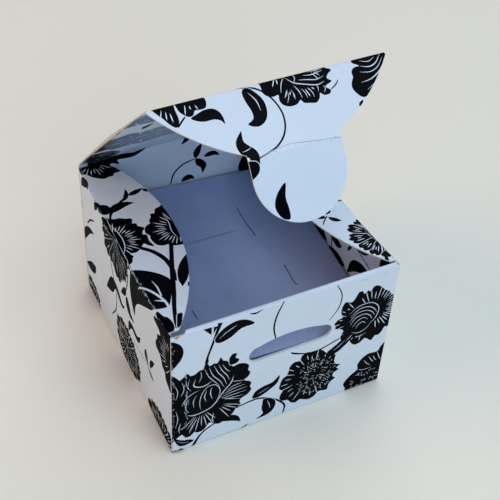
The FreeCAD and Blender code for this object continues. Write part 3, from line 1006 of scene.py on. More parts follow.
right_print = on(
    right_flap,
    bloom((-17.4, -1.6), [
        (174, 8.0, 22), (156, 7.2, 24), (136, 7.0, 26), (26, 6.2, 26), (112, 6.6, 30), (50, 6.8, 30),
        (82, 6.8, 34),
    ]),
    stroke([(-25.4, 2.2), (-23.4, 1.2)], [1.0, 0.6]),
    thin([(-8.4, 5.4), (-9.4, 6.6), (-10.5, 7.6)], 0.3),
    leaf((-8.8, 5.9), (-6.0, 8.0), 1.7, 0.1),
    leaf((-8.8, 5.4), (-10.8, 3.3), 1.2, -0.1),
    leaf((-8.0, 5.4), (-6.5, 3.6), 1.5, 0.1),
    thin([(-5.1, 1.6), (-5.3, 0.4), (-5.8, -1.0)], 0.4),
    ribbed_leaf((2.0, 3.0), (8.6, 5.6), 2.2, 0.16),
    thin([(0.4, -0.6), (2.8, 3.2), (6.0, 7.8)], 0.3),
    bloom((16.8, 0.2), [(150, 6.4, 34), (118, 6.8, 34), (86, 7.0, 34), (54, 6.6, 34), (24, 6.0, 34)]),
    scuffs_and_painted_streaks((-26.0, 0.2), (26.0, 0.2), 90, 73, 0.12),
) + on(
    right_wall,
    full_bloom((-12.0, 16.0), 8.8, 13, 10),
    bud((-12.0, 16.2), 5.4, 4.4, 35, 3),
    bloom((-16.6, 38.8), [
        (-150, 7.2, 32), (-126, 7.0, 32), (-102, 6.8, 32), (-78, 6.8, 32), (-54, 7.2, 32),
        (-30, 7.4, 32),
    ]),
    full_bloom((13.0, 27.0), 7.8, 12, 0),
    torn((13.0, 27.0), 4.4, 4.4, 46, 12),
    branch([(-6.0, 21.0), (-1.0, 24.6), (5.4, 25.6)]),
    ribbed_leaf((-1.6, 24.6), (-3.6, 31.6), 2.8, 0.16),
    ribbed_leaf((0.2, 24.4), (4.2, 18.4), 2.8),
    thin([(14.0, 19.2), (13.2, 13.0), (9.0, 8.0), (2.8, 6.4)], 0.3),
    ribbed_leaf((9.2, 8.2), (5.2, 13.6), 2.8, 0.2, 0.4),
    ribbed_leaf((12.8, 11.6), (18.8, 14.0), 2.4, -0.2),
    bloom((22.0, -1.6), [(160, 8.0, 34), (134, 9.0, 34), (108, 9.4, 34), (82, 9.4, 34), (54, 8.6, 34)]),
    leaf((-24.0, 30.0), (-20.8, 24.0), 2.2, 0.2, 0.42, 0.18),
    leaf((-3.0, 2.0), (-9.0, 5.0), 2.2, 0.2, 0.42, 0.18),
    thin([(-3.0, 2.2), (1.4, 5.2), (3.0, 10.6)], 0.3),
)

back_print = on(
    back_wall,
    full_bloom((-13.0, 22.0), 9.0, 13, 0),
    bud((-13.2, 22.2), 5.6, 4.6, -30, 3),
    full_bloom((14.0, 12.0), 8.4, 12, 20),
    torn((14.0, 12.0), 4.6, 4.6, 46, 21),
    branch([(-5.2, 18.6), (0.4, 15.0), (6.4, 13.4)]),
    ribbed_leaf((0.2, 15.2), (1.4, 22.6), 3.0, -0.18),
    ribbed_leaf((-1.0, 15.8), (-5.4, 9.6), 2.8, -0.2),
    thin([(14.6, 20.0), (15.0, 26.0), (12.0, 31.6), (5.6, 33.8), (0.6, 31.0)], 0.3),
    ribbed_leaf((14.8, 27.4), (20.8, 31.4), 2.8),
    ribbed_leaf((8.4, 33.2), (5.2, 28.0), 2.6, 0.24, 0.4),
    leaf((22.4, 23.0), (25.2, 29.4), 2.4, 0.1, 0.42, 0.18),
    bloom((-20.0, -1.4), [(150, 6.8, 34), (124, 8.2, 34), (98, 8.6, 34), (72, 8.6, 34), (44, 7.6, 34)]),
    leaf((-9.0, 4.0), (-3.2, 2.6), 2.2, 0.2, 0.42, 0.18),
    bloom((2.0, 40.2), [
        (-160, 7.0, 32), (-136, 7.4, 32), (-112, 7.4, 32), (-88, 7.6, 32), (-62, 7.4, 32),
        (-34, 6.8, 32),
    ]),
)

underneath_print = on(
    floor_panel,
    full_bloom((-11.0, -9.0), 9.4, 13, 0),
    bud((-11.0, -9.0), 5.8, 4.8, 40, 3),
    full_bloom((12.0, 12.0), 8.8, 12, 10),
    torn((12.0, 12.0), 4.8, 4.8, 46, 31),
    branch([(-4.0, -3.6), (1.0, 2.0), (5.4, 7.2)]),
    ribbed_leaf((0.6, 1.4), (8.0, -2.4), 3.2),
    ribbed_leaf((-1.4, -0.6), (-8.2, 4.6), 3.2),
    thin([(-12.0, 0.6), (-15.0, 8.0), (-11.0, 15.6), (-3.0, 18.4)], 0.3),
    ribbed_leaf((-14.6, 8.6), (-20.4, 12.6), 2.8),
    ribbed_leaf((-8.6, 17.0), (-6.4, 23.4), 2.8),
    thin([(12.6, 3.4), (17.0, -4.0), (13.0, -12.0), (5.0, -16.0)], 0.3),
    ribbed_leaf((16.2, -6.4), (22.4, -9.6), 2.8),
    ribbed_leaf((9.0, -14.2), (12.4, -21.0), 3.0, -0.2),
)

lining_print = on(
    front_lining,
    ribbed_leaf((-20.0, 30.0), (-12.6, 33.6), 3.0),
    thin([(-20.6, 24.0), (-16.0, 30.4), (-8.0, 33.0), (-2.0, 36.4)], 0.3),
    full_bloom((-12.0, 18.0), 7.8, 11, 0),
    bloom((15.0, 33.6), [
        (150, 6.4, 36), (178, 6.6, 36), (206, 6.8, 36), (234, 6.8, 36), (262, 6.8, 36), (290, 6.8, 36),
        (318, 6.6, 36),
    ]),
    ribbed_leaf((2.0, 33.0), (7.4, 30.4), 2.4),
)

lid_print = on(
    lid_top,
    full_bloom((-11.0, 14.0), 9.4, 13, 0),
    bud((-11.0, 14.4), 5.8, 4.8, 30, 3),
    full_bloom((13.0, 33.0), 8.8, 12, 14),
    torn((13.0, 33.0), 4.8, 4.8, 46, 41),
    branch([(-4.6, 19.8), (1.0, 24.4), (6.2, 28.4)]),
    ribbed_leaf((1.0, 24.2), (8.6, 20.4), 3.2),
    ribbed_leaf((-0.6, 23.4), (-6.2, 29.8), 3.2),
    thin([(-12.0, 23.6), (-16.6, 30.0), (-14.4, 38.6), (-8.0, 43.0)], 0.3),
    ribbed_leaf((-16.2, 31.4), (-21.6, 36.4), 2.8),
    ribbed_leaf((-13.6, 39.6), (-8.4, 36.0), 2.6, -0.2),
    thin([(12.0, 24.2), (16.6, 17.0), (13.6, 9.0), (6.4, 5.4)], 0.3),
    ribbed_leaf((15.8, 14.6), (21.8, 11.0), 2.8),
    ribbed_leaf((9.8, 6.8), (12.0, 1.2), 2.6, -0.2),
    bloom((2.0, -1.2), [
        (152, 6.4, 34), (126, 6.8, 34), (100, 7.0, 34), (74, 7.0, 34), (48, 6.8, 34), (22, 6.4, 34),
    ]),
) + on(
    lid_flap,
    # flowers bent over the front fold
    bloom((-17.0, -2.6), [
        (-172, 5.4, 34), (-8, 6.0, 34), (-144, 6.2, 34), (-36, 6.4, 34), (-116, 6.8, 34),
        (-64, 6.8, 34), (-90, 7.2, 34),
    ], 2),
    blot([
        (-21.2, -2.4), (-21.4, -0.2), (-20.8, 1.0), (-20.0, 2.0), (-19.2, 3.3), (-18.2, 4.2),
        (-17.4, 3.4), (-17.3, 2.2), (-17.4, 0.9), (-17.2, -0.3), (-16.9, 1.3), (-16.2, 2.3),
        (-15.3, 2.9), (-14.5, 2.7), (-14.0, 2.0), (-12.9, 2.1), (-11.9, 1.9), (-11.5, 0.8),
        (-11.8, -0.6), (-12.6, -2.4),
    ], gap=0.0),
    rays((-18.6, -2.4), 3.0, 6.2, (112, 99, 88), 0.2),
    rays((-14.8, -2.0), 2.6, 4.6, (104, 88, 70), 0.2),
    blot([
        (-15.2, 3.2), (-14.2, 4.0), (-12.8, 4.4), (-11.3, 4.4), (-10.1, 4.9), (-9.6, 5.7), (-9.5, 4.4),
        (-9.9, 3.2), (-10.9, 2.4), (-12.4, 2.3), (-13.8, 2.7),
    ]),
    stroke([(-17.9, 4.2), (-17.0, 3.4), (-16.1, 2.7)], [0.3, 0.34, 0.3]),
    bloom((5.2, -2.2), [
        (-176, 8.0, 30), (-4, 8.4, 30), (-152, 8.6, 30), (-28, 8.8, 30), (-128, 9.0, 30),
        (-52, 9.0, 30), (-104, 9.4, 30), (-76, 9.4, 30),
    ], 3),
    blot([
        (-2.4, -2.6), (-1.2, -0.6), (-0.9, 1.0), (-0.9, 2.0), (-0.2, 2.8), (0.8, 3.1), (1.8, 3.0),
        (1.6, 4.0), (2.0, 5.0), (3.2, 5.6), (4.6, 5.5), (5.5, 4.9), (6.0, 5.6), (7.2, 5.9), (8.3, 6.1),
        (9.2, 5.4), (9.6, 4.5), (10.2, 5.1), (11.4, 5.1), (11.8, 4.4), (11.0, 3.6), (12.6, 2.9),
        (11.9, 2.2), (12.4, 1.4), (13.3, 0.8), (12.3, 0.0), (12.6, -1.6), (10.4, -2.6),
    ], gap=0.0),
    vein([(2.4, 2.8), (3.0, 1.2), (4.0, -0.2)], 0.22),
    vein([(6.0, 4.6), (5.8, 3.2), (5.2, 2.0)], 0.26),
    rays((2.6, -1.2), 1.0, 2.9, (118, 97), 0.2),
    rays((5.0, 0.6), 2.2, 4.0, (124, 110, 97), 0.2),
    rays((6.2, 0.4), 2.8, 4.6, (72, 61, 51), 0.2),
    vein([(4.1, 0.2), (5.4, 1.5), (7.2, 2.2), (9.6, 2.9), (11.2, 2.6)], 0.26),
    pale_lines(
        0.22,
        [(6.4, 1.2), (8.0, 1.5), (9.8, 1.9), (11.4, 1.6)],
        [(7.6, 0.6), (9.4, 0.8), (11.6, 0.5)],
    ),
    pale_lines(0.2, [(9.4, 4.2), (9.6, 3.4), (9.4, 2.8)], [(8.2, -0.2), (9.8, 0.1), (11.4, -0.2)]),
    vein([(10.4, 4.6), (10.9, 4.0), (10.7, 3.3)], 0.18),
    rays((8.6, -0.6), 1.2, 3.2, (14, 27, 41, 56), 0.14),
    vein([(5.4, 1.6), (5.9, 0.6), (5.6, -0.6)], 0.22),
    pale_lines(0.18, [(2.9, 4.9), (3.5, 3.9), (3.7, 2.9)], [(4.6, 4.6), (4.7, 3.6), (4.4, 2.6)]),
    pale_lines(0.2, [(7.0, 4.9), (6.9, 3.9), (6.4, 2.9)], [(8.3, 5.0), (8.2, 4.0), (7.6, 3.0)]),
    thin([(11.9, 4.4), (13.0, 3.8), (13.9, 3.0)], 0.24),
    bloom((25.0, -0.6), [
        (178, 7.6, 30), (-156, 8.0, 30), (-132, 8.6, 30), (-108, 8.8, 30), (-84, 8.6, 30),
    ], 3),
    blot([
        (18.6, -1.8), (18.2, 0.0), (18.3, 0.9), (18.9, 1.4), (17.7, 1.5), (17.0, 2.2), (16.9, 3.2),
        (16.3, 4.1), (16.0, 5.2), (16.5, 6.4), (17.3, 7.3), (18.3, 7.3), (19.4, 6.6), (22.0, 4.6),
        (26.0, 1.0), (26.2, -1.8),
    ], gap=0.0),
    vein([(18.1, 4.6), (20.4, 4.3), (22.8, 3.0), (24.6, 0.9)], 0.28),
    vein([(18.6, 2.6), (20.6, 3.0), (22.4, 2.4), (24.0, 0.8)], 0.2),
    vein([(19.0, 1.5), (20.8, 2.0), (22.4, 1.5), (23.8, 0.0)], 0.28),
    vein([(19.2, 0.5), (21.0, 1.0), (22.4, 0.4)], 0.2),
    vein([(18.8, 6.2), (20.6, 5.3), (22.2, 4.0)], 0.16),
    # the ringed stem, the comma leaf inside it and the leaf over the neck
    thin([
        (-5.4, -0.4), (-2.0, 0.8), (0.2, 3.0), (1.3, 6.4), (0.6, 9.6), (-1.8, 12.0), (-6.0, 13.3),
    ], 0.34),
    blot([
        (-5.6, 6.9), (-3.8, 7.7), (-2.0, 6.8), (-1.2, 4.8), (-1.5, 2.6), (-3.4, 0.2), (-4.6, 0.8),
        (-4.6, 2.6), (-4.1, 4.6), (-4.3, 6.1),
    ]),
    vein([(-2.4, 5.0), (-2.6, 3.0), (-3.6, 1.2)], 0.3),
    stroke([
        (-7.3, 7.7), (-8.2, 9.6), (-7.8, 11.1), (-6.7, 12.2), (-6.6, 13.4), (-6.9, 14.8),
    ], [0.1, 1.5, 2.2, 2.0, 1.8, 1.5]),
    vein([(-8.4, 11.4), (-7.4, 11.3), (-6.4, 10.9)], 0.2),
    leaf((16.0, 8.8), (17.2, 7.8), 0.6),
) + on(
    lid_tongue,
    blot([
        (-2.0, 5.5), (-3.6, 6.6), (-4.7, 8.2), (-4.9, 9.8), (-4.0, 11.6), (-2.6, 12.0), (-2.4, 10.2),
        (-2.6, 8.0),
    ]),
    blot([(-8.6, 3.6), (-6.9, 3.0), (-6.1, 2.0), (-6.2, 0.9), (-7.0, 0.4), (-8.6, 0.5)]),
    # a grey line along the crease: the cracked coat, with the groove's shade painted into it
    stroke([
        (-5.6, 0.0), (-3.0, -0.5), (0.4, -0.9), (3.6, -0.5), (7.0, -0.1), (10.8, 0.4),
    ], [0.05, 0.16, 0.12, 0.2, 0.12, 0.14], wear_and_painted_light),
    scuffs_and_painted_streaks((-5.0, -0.5), (10.2, 0.2), 12, 74, 0.12),
)

# The inside of the blank carries the same repeat: what shows is in the open box and under the lid.
inner_print = on(
    back_wall,
    stroke([(1.6, 39.6), (0.4, 37.8), (-0.9, 36.6)], [1.4, 1.4, 0.2]),
    leaf((2.7, 31.2), (4.2, 35.4), 1.7, 0.10),
    blot([(4.7, 31.4), (6.0, 32.3), (7.6, 32.0), (8.6, 30.5), (7.2, 30.9), (5.6, 30.9)]),
    blot([(2.5, 31.2), (3.6, 31.0), (4.8, 29.9), (5.4, 28.4), (4.4, 26.4), (4.0, 28.0), (2.8, 29.4)]),
    thin([(2.4, 31.3), (-0.6, 30.5), (-2.8, 28.4), (-3.6, 25.4)], 0.44),
    leaf((-0.9, 25.2), (2.4, 25.2), 1.7, 0.3),
    blot([
        (16.4, 30.4), (14.8, 28.4), (13.8, 26.0), (13.9, 23.8), (16.8, 23.0), (18.6, 24.8),
        (18.2, 28.0),
    ]),
    # a dark band of foliage along the crease under the lid
    stroke([
        (-22.8, 38.4), (-19.6, 37.0), (-16.4, 38.2), (-12.6, 37.4), (-9.4, 38.6),
    ], [1.6, 2.2, 2.4, 1.2, 0.8]),
    leaf((-19.4, 38.2), (-15.8, 35.6), 1.4, 0.1),
    bloom((-20.0, 27.0), [
        (0, 6.0, 34), (60, 6.4, 34), (120, 6.0, 34), (180, 5.6, 34), (240, 6.0, 34), (300, 6.2, 34),
    ]),
) + on(
    right_wall,
    leaf((-25.6, 38.4), (-21.2, 31.6), 2.0, 0.12),
    leaf((-17.2, 32.4), (-12.9, 29.8), 2.4, 0.1),
    thin([(-19.4, 27.6), (-16.6, 29.2), (-11.6, 30.4)], 0.36),
    stroke([(-18.4, 27.0), (-15.2, 26.2), (-12.4, 24.2), (-10.3, 20.4)], [0.4, 2.6, 2.6, 0.4]),
    leaf((-11.0, 29.6), (-9.5, 26.4), 0.9),
    stroke([(-7.2, 25.4), (-5.0, 25.0), (-2.2, 25.4)], [0.4, 2.8, 1.8]),
    thin([(-2.8, 25.0), (-3.0, 22.4), (-3.8, 19.0)], 0.5),
    leaf((-9.2, 20.9), (-1.4, 20.6), 2.8, 0.0),
    stroke([(-0.8, 21.4), (2.4, 22.2), (5.4, 21.6), (8.8, 19.8)], [0.6, 3.8, 3.6, 1.0]),
    bloom((17.0, 30.0), [
        (0, 6.4, 34), (60, 6.6, 34), (120, 6.4, 34), (180, 6.4, 34), (240, 6.4, 34), (300, 6.4, 34),
    ]),
) + on(
    left_wall,
    full_bloom((-4.0, 30.0), 7.2, 11),
    ribbed_leaf((8.0, 30.0), (15.0, 34.0), 2.8),
    ribbed_leaf((-14.0, 28.0), (-21.0, 32.0), 2.8),
    thin([(-14.0, 27.6), (-4.0, 22.0), (8.0, 24.0), (16.0, 30.0)], 0.3),
) + on(
    left_flap,
    ribbed_leaf((-8.0, 3.0), (-2.0, 7.0), 2.8),
    full_bloom((8.0, 5.0), 5.2, 9),
) + on(
    right_flap,
    ribbed_leaf((2.0, 6.0), (9.0, 3.0), 2.8),
    full_bloom((-8.0, 4.0), 5.2, 9),
) + on(
    lid_top,
    # broad dark flowers, where the varnish has pooled and shines at a low angle
    smooth_patch([
        (-25.6, 2.0), (-21.0, -0.6), (-17.4, 1.6), (-16.2, 4.4), (-18.4, 8.0), (-21.6, 9.4),
        (-25.6, 8.6),
    ]),
    smooth_patch([
        (-25.6, 12.4), (-23.6, 10.6), (-21.0, 11.4), (-18.4, 9.6), (-15.0, 10.4), (-12.2, 9.0),
        (-8.0, 10.6), (-4.4, 10.0), (-2.6, 12.4), (-4.2, 15.0), (-3.0, 18.2), (-5.8, 20.4),
        (-6.2, 23.6), (-9.8, 22.8), (-12.4, 25.0), (-15.6, 23.4), (-18.6, 25.6), (-21.4, 23.6),
        (-23.6, 24.8), (-25.6, 23.6),
    ]),
    vein([(-24.6, 17.6), (-20.0, 16.4), (-14.0, 17.8), (-8.6, 16.6)], 0.4),
    rays((-14.6, 17.2), 3.0, 7.2, (24, 50, 76, 102, 128, 152, 206, 232, 258, 284, 310, 336), 0.24),
    rays((-22.4, 4.4), 1.2, 3.8, (-60, -20, 20, 60, 100), 0.24),
    stroke([(-24.4, 25.4), (-23.0, 29.4), (-22.6, 34.6)], [0.6, 2.0, 0.5]),
    leaf((-16.4, 28.0), (-15.4, 33.6), 1.6, 0.1),
    smooth_patch([
        (-25.6, 36.4), (-22.8, 35.0), (-19.4, 36.2), (-16.0, 35.2), (-13.0, 37.6), (-14.2, 41.6),
        (-11.8, 45.4), (-13.6, 49.4), (-18.0, 50.2), (-25.6, 50.2),
    ]),
    rays((-22.0, 43.0), 3.0, 7.4, (-70, -44, -18, 8, 34, 60, 86, 112), 0.24),
    full_bloom((14.0, 12.0), 8.4, 12),
    full_bloom((14.0, 44.0), 8.4, 12),
    branch([(-6.0, 22.0), (1.0, 18.6), (6.0, 15.6)]),
    ribbed_leaf((2.0, 18.6), (6.0, 25.0), 3.2),
    thin([(14.0, 21.0), (10.0, 28.0), (12.0, 36.0)], 0.3),
    ribbed_leaf((10.4, 28.0), (3.0, 32.0), 3.0),
    thin([(-12.0, 38.0), (-4.0, 34.0), (2.0, 38.0), (3.0, 46.0)], 0.3),
    ribbed_leaf((-2.0, 34.6), (-6.0, 28.6), 3.0),
    ribbed_leaf((2.4, 40.0), (-3.6, 44.6), 3.0, -0.2),
) + on(
    lid_flap,
    ribbed_leaf((-14.0, 2.0), (-7.0, 5.0), 2.8),
    full_bloom((4.0, 5.0), 5.6, 9),
    ribbed_leaf((13.0, 2.0), (20.0, 4.0), 2.6, -0.2),
) + on(
    lid_tongue,
    ribbed_leaf((-2.0, 3.0), (4.0, 8.0), 2.8),
)


# The tray
# The floor, the four walls, the glue tabs, the front wall doubled over its rolled rim and the two
# arched side flaps, folded from the blank's middle. It is cut short of the lid's crease.

outer_print = front_print + left_print + right_print + back_print
outer_print += underneath_print + lining_print + lid_print
fold_reach = floor_fold + 0.02          # the cuts at the corners end just past the floor's folds
relief = half_depth - floor_fold
wall_end = half_depth - card            # where a side wall turns into its glue tab
tab_width, tab_bevel, tab_round = 8.0, 1.2, 0.6
tab_end = wall_end + tab_width
tab_foot, tab_head = half_width + 0.8, half_width + 35.5        # the tab's ends up the wall
fold_top = half_width + wall_height
flap_depth, flap_crown = 12.3, 1.0      # each side flap's arch: how deep, and where it is deepest
flap_back_depth = 5.6
left_front_depth, right_front_depth = 2.2, 1.5
end_gap = 0.3                           # the flaps clear the lining and the back wall by this
flap_front, flap_back = -half_depth + roll_gap + end_gap, half_depth - 2 * card - end_gap
corner_relief = 0.4
wing_start = half_depth - floor_fold - corner_relief
lining_foot = rim_line + roll_gap + wall_height - card
lining_half = half_width - 2 * card     # it goes in between the side walls
rim_left, rim_right = -21.0, 24.4       # the rolled rim stops short of both corners
rim_ease = 0.1                          # the cut ends this far past the rim's line
notch_foot = 1.3                        # the lining drops this far at its left end
corner_slope = 1.2                      # the front panel's cut-off left corner
lead_far, lead_near, lead_drop = 1.6, 1.0, 0.5          # the cut's slant up to the rolled rim


def through_three(a, b, c, steps):
    """Points along the circular arc from a through b to c."""
    (ax, ay), (bx, by), (cx, cy) = a, b, c
    area = 2 * (ax * (by - cy) + bx * (cy - ay) + cx * (ay - by))
    sa, sb, sc = ax * ax + ay * ay, bx * bx + by * by, cx * cx + cy * cy
    ox = (sa * (by - cy) + sb * (cy - ay) + sc * (ay - by)) / area
    oy = (sa * (cx - bx) + sb * (ax - cx) + sc * (bx - ax)) / area
    radius = math.hypot(ax - ox, ay - oy)
    first, last = math.atan2(ay - oy, ax - ox), math.atan2(cy - oy, cx - ox)
    turn = (last - first) % (2 * math.pi)
    if (math.atan2(by - oy, bx - ox) - first) % (2 * math.pi) > turn:
        turn -= 2 * math.pi
    return [polar((ox, oy), first + turn * i / steps, radius) for i in range(steps + 1)]


def wing(side):
    """A side wall's outline on the blank, from its front end to its back end: tabs and flap."""
    front_depth = left_front_depth if side < 0 else right_front_depth
    ends = (front_depth, flap_front), (flap_depth, flap_crown), (flap_back_depth, flap_back)
    arch = through_three(*ends, 48)
    edge = [(fold_top + inward + bow_at(y, side), y) for inward, y in arch]
    points = [
        (half_width - fold_reach, -wing_start), (tab_foot, -wing_start),
        (tab_foot, -tab_end + tab_round), (tab_foot + tab_round, -tab_end),
        (tab_head - tab_bevel, -tab_end), (tab_head, -tab_end + tab_bevel),
        (tab_head, -wall_end), (fold_top, -wall_end), (fold_top, flap_front),
    ]
    points += edge
    points += [
        (fold_top, flap_back), (fold_top, wall_end), (tab_head, wall_end),
        (tab_head, tab_end - tab_bevel), (tab_head - tab_bevel, tab_end),
        (tab_foot + tab_round, tab_end), (tab_foot, tab_end - tab_round),
        (tab_foot, wing_start), (half_width - fold_reach, wing_start),
    ]
    return points if side > 0 else [(-x, y) for x, y in points[::-1]]


tray_end = lid_start - crease_half
rim_top, lining_top = -rim_line + rim_ease, -rim_line - roll_gap - notch_foot
tray_outline = [
    (-half_width + fold_reach, -relief), (-half_width, -relief), (-half_width, rim_top),
    (-half_width + card, rim_top), (-half_width + corner_slope, -rim_line + corner_slope),
    (rim_left - lead_far, -rim_line + lead_drop), (rim_left - lead_near, -rim_line - rim_ease),
    (rim_left, lining_top), (-lining_half, lining_top), (-lining_half, -lining_foot),
    (lining_half, -lining_foot), (lining_half, lining_top),
    (rim_right, -rim_line - roll_gap), (rim_right, rim_top), (half_width, rim_top),
    (half_width, -relief), (half_width - fold_reach, -relief),
]
tray_outline += wing(1)
tray_outline += [
    (half_width - fold_reach, relief), (half_width, relief), (half_width, tray_end),
    (-half_width, tray_end), (-half_width, relief), (-half_width + fold_reach, relief),
]
tray_outline += wing(-1)

tongue_middle, tongue_width = 1.3, 18.4
slot_level, slot_height, slot_arch = 25.1, 4.6, 1.3     # its middle's height, its size, its rise
slot_clearance = 0.25                   # between the slot's end and the tongue's side
slot_half = tongue_width / 2 + slot_clearance
lining_clearance = 0.8                  # the lining's slot is cut this much larger all round


def slot_outline():
    """A flat-bottomed slot with round ends and a gently arched upper edge, on the front wall."""
    x0, x1 = tongue_middle - slot_half, tongue_middle + slot_half
    low = slot_level - slot_height / 2 - slot_arch / 2
    high, end = low + slot_height, slot_height / 2
    right_end = through_three((x1 - end, low), (x1, low + end), (x1 - end, high), 12)
    arched = through_three((x1 - end, high), (tongue_middle, high + slot_arch), (x0 + end, high), 16)
    left_end = through_three((x0 + end, high), (x0, low + end), (x0 + end, low), 12)
    return right_end + arched[1:] + left_end[1:]


slot = slot_outline()
slot_holes = [
    [front_wall(x, z) for x, z in slot],
    [front_lining(x, z) for x, z in outset(slot, lining_clearance)],
]
tray_creases = []
for way, folds in ((-1, front_folds), (1, back_folds[:1])):
    for line, turn, radius in folds:
        tray_creases += fold_lines(way * line, radius, turn, -half_width, half_width, True)
for side in (-1, 1):
    for line, turn, radius in side_folds:
        tray_creases += fold_lines(side * line, radius, turn, -half_depth, half_depth, False)
    tab_ends = sorted((side * (half_width + 0.7), side * (half_width + wall_height - 0.4)))
    for way in (-1, 1):
        tray_creases += fold_lines(way * wall_end, tab_fold, quarter, *tab_ends, True)
# Upright lines through the pressed-in corner, closest together at its crest.
tray_creases += [
    ((x, -half_depth - 1.0), (x, -rim_line + 1.0))
    for x in (-24.4, -23.7, -23.0, -22.6, -22.3, -22.0, -21.6, -21.0, -20.2)
]

# The slot's cut edges take the white card's finish instead of the cream edge: painted light, for edges that
# the light from above makes bright.
tray = cut_sheet(
    "folded_card_tray", tray_outline, slot_holes, outer_print, inner_print, tray_creases, hole_edge=bare,
)
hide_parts("tray")
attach(tray, "root")


# The rubbed folds
# Handling has raised short paper fibres where the printed sheet turns: at the two upright front
# corners, along the left wall's top fold and along the rim. They are the card's own, not added.

fibre_length, fibre_girth = 0.85, 0.07
fibre_step, fibre_share = 0.42, 0.55    # a place every so often, and the share that has a fibre
fibre_shortest = 0.35                   # as a share of the full length
fibre_stray = 0.05                      # how far a fibre lies off the fold, at most


def fibre_tree():
    """Short fibres scattered along a path, each turned nearly along it."""
    tree = bpy.data.node_groups.new("raised_fibres_along_a_fold", "GeometryNodeTree")
    for name, kind, way, value in (
        ("Geometry", "NodeSocketGeometry", "INPUT", None),
        ("Length", "NodeSocketFloat", "INPUT", fibre_length),
        ("Girth", "NodeSocketFloat", "INPUT", fibre_girth),
        ("Step", "NodeSocketFloat", "INPUT", fibre_step * mm),
        ("Seed", "NodeSocketInt", "INPUT", 5),
        ("Geometry", "NodeSocketGeometry", "OUTPUT", None),
    ):
        socket = tree.interface.new_socket(name, in_out=way, socket_type=kind)
        if value is not None:
            socket.default_value = value
    given = add_node(tree, "NodeGroupInput")
    length, girth, step, seed = (given.outputs[name] for name in ("Length", "Girth", "Step", "Seed"))

    # points along the fold, some of them left out
    path = add_node(tree, "GeometryNodeMeshToCurve", Mesh=given.outputs["Geometry"])
    even = add_node(
        tree, "GeometryNodeResampleCurve", {"mode": "LENGTH"}, Curve=path.outputs[0], Length=step,
    )
    chance = add_node(
        tree, "FunctionNodeRandomValue", {"data_type": "FLOAT"}, _2=0.0, _3=1.0, Seed=seed,
    )
    kept = add_node(
        tree, "FunctionNodeCompare", {"data_type": "FLOAT", "operation": "LESS_THAN"},
        _0=chance.outputs[1], _1=fibre_share,
    )
    spread = add_node(
        tree, "FunctionNodeRandomValue", {"data_type": "FLOAT_VECTOR"},
        _0=(-fibre_stray * mm,) * 3, _1=(fibre_stray * mm,) * 3,
    )
    points = add_node(
        tree, "GeometryNodeSetPosition", Geometry=even.outputs[0], Offset=spread.outputs[0],
    )

    # one fibre: a ball of 1 mm, drawn out thin
    size = add_node(tree, "ShaderNodeCombineXYZ", X=girth, Y=girth, Z=length)
    ball = add_node(tree, "GeometryNodeMeshIcoSphere", Radius=0.5 * mm, Subdivisions=1)
    fibre = add_node(
        tree, "GeometryNodeTransform", Geometry=ball.outputs[0], Scale=size.outputs[0],
    )

    # laid along the fold, some shorter than others
    along = add_node(tree, "GeometryNodeInputTangent")
    lie = add_node(
        tree, "FunctionNodeAlignRotationToVector", {"axis": "Z"}, Vector=along.outputs[0],
    )
    scale = add_node(
        tree, "FunctionNodeRandomValue", {"data_type": "FLOAT"}, _2=fibre_shortest, _3=1.0, Seed=seed,
    )
    laid_out = add_node(
        tree, "GeometryNodeInstanceOnPoints", Points=points.outputs[0], Selection=kept.outputs[0],
        Instance=fibre.outputs[0], Rotation=lie.outputs[0], Scale=scale.outputs[1],
    )
    real = add_node(tree, "GeometryNodeRealizeInstances", Geometry=laid_out.outputs[0])
    dressed = add_node(
        tree, "GeometryNodeSetMaterial", Geometry=real.outputs[0], Material=worn_coat_and_painted_light,
    )
    add_node(tree, "NodeGroupOutput", Geometry=dressed.outputs[0])
    return tree


def fold_paths():
    """The folds where the print has worn, as runs of points on the outer face."""
    stride = 1.5            # near enough together to follow the bowed folds
    upright = [2.0 + stride * i for i in range(23)]
    along_left = [-25.5 + stride * i for i in range(35)]
    along_rim = [-18.0 + stride * i for i in range(28)]
    return [
        [folded(-half_width, -half_depth - z, 0.0) for z in upright],
        [folded(half_width, -half_depth - z, 0.0) for z in upright],
        [folded(-half_width - wall_height, y, 0.0) for y in along_left],
        [folded(x, -rim_line - 0.15, 0.0) for x in along_rim],
    ]


path_mesh = bpy.data.meshes.new("worn_folds")
path_points, path_edges = [], []
for run in fold_paths():
    path_edges += [(len(path_points) + i, len(path_points) + i + 1) for i in range(len(run) - 1)]
    path_points += [point * mm for point in run]
path_mesh.from_pydata(path_points, path_edges, [])
path_object = bpy.data.objects.new("worn_folds", path_mesh)
bpy.context.collection.objects.link(path_object)
scatter = path_object.modifiers.new("fibres", "NODES")
scatter.node_group = fibre_tree()
for socket in scatter.node_group.interface.items_tree:
    if socket.in_out == "INPUT" and socket.name == "Seed":
        scatter[socket.identifier] = 11
settled = path_object.evaluated_get(bpy.context.evaluated_depsgraph_get())
fibre_mesh = bpy.data.meshes.new_from_object(settled)
bpy.data.objects.remove(path_object)
fibre_mesh.name = "raised_fibres"
fibres = bpy.data.objects.new("raised_fibres", fibre_mesh)
bpy.context.collection.objects.link(fibres)
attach(fibres, "root")


# The lid
# The same sheet goes on over the back wall's crease: the lid's panel, its front flap and the lock
# tongue. Each turns at a crease, where the card bends round in a short soft strip.

side_gap = 0.15                         # the lid stays this far inside the side walls
lid_trim = 2.6                          # the front flap's left end is cut back by this
neck = 12.2                             # the front flap narrows to the tongue this far down
flap_belly = 1.1                        # how far its side edges swell on the way
tongue_length = 13.4
tongue_straight = 4.0                   # how far the tongue's sides run before its round end
lid_left, lid_right = -half_width + side_gap, half_width - side_gap
front_left = -half_width + lid_trim


def left_edge(y):
    """The lid's left edge, which tapers in towards its front fold."""
    share = (y - lid_start) / lid_run
    return lid_left + (front_left - lid_left) * min(1.0, max(0.0, share))


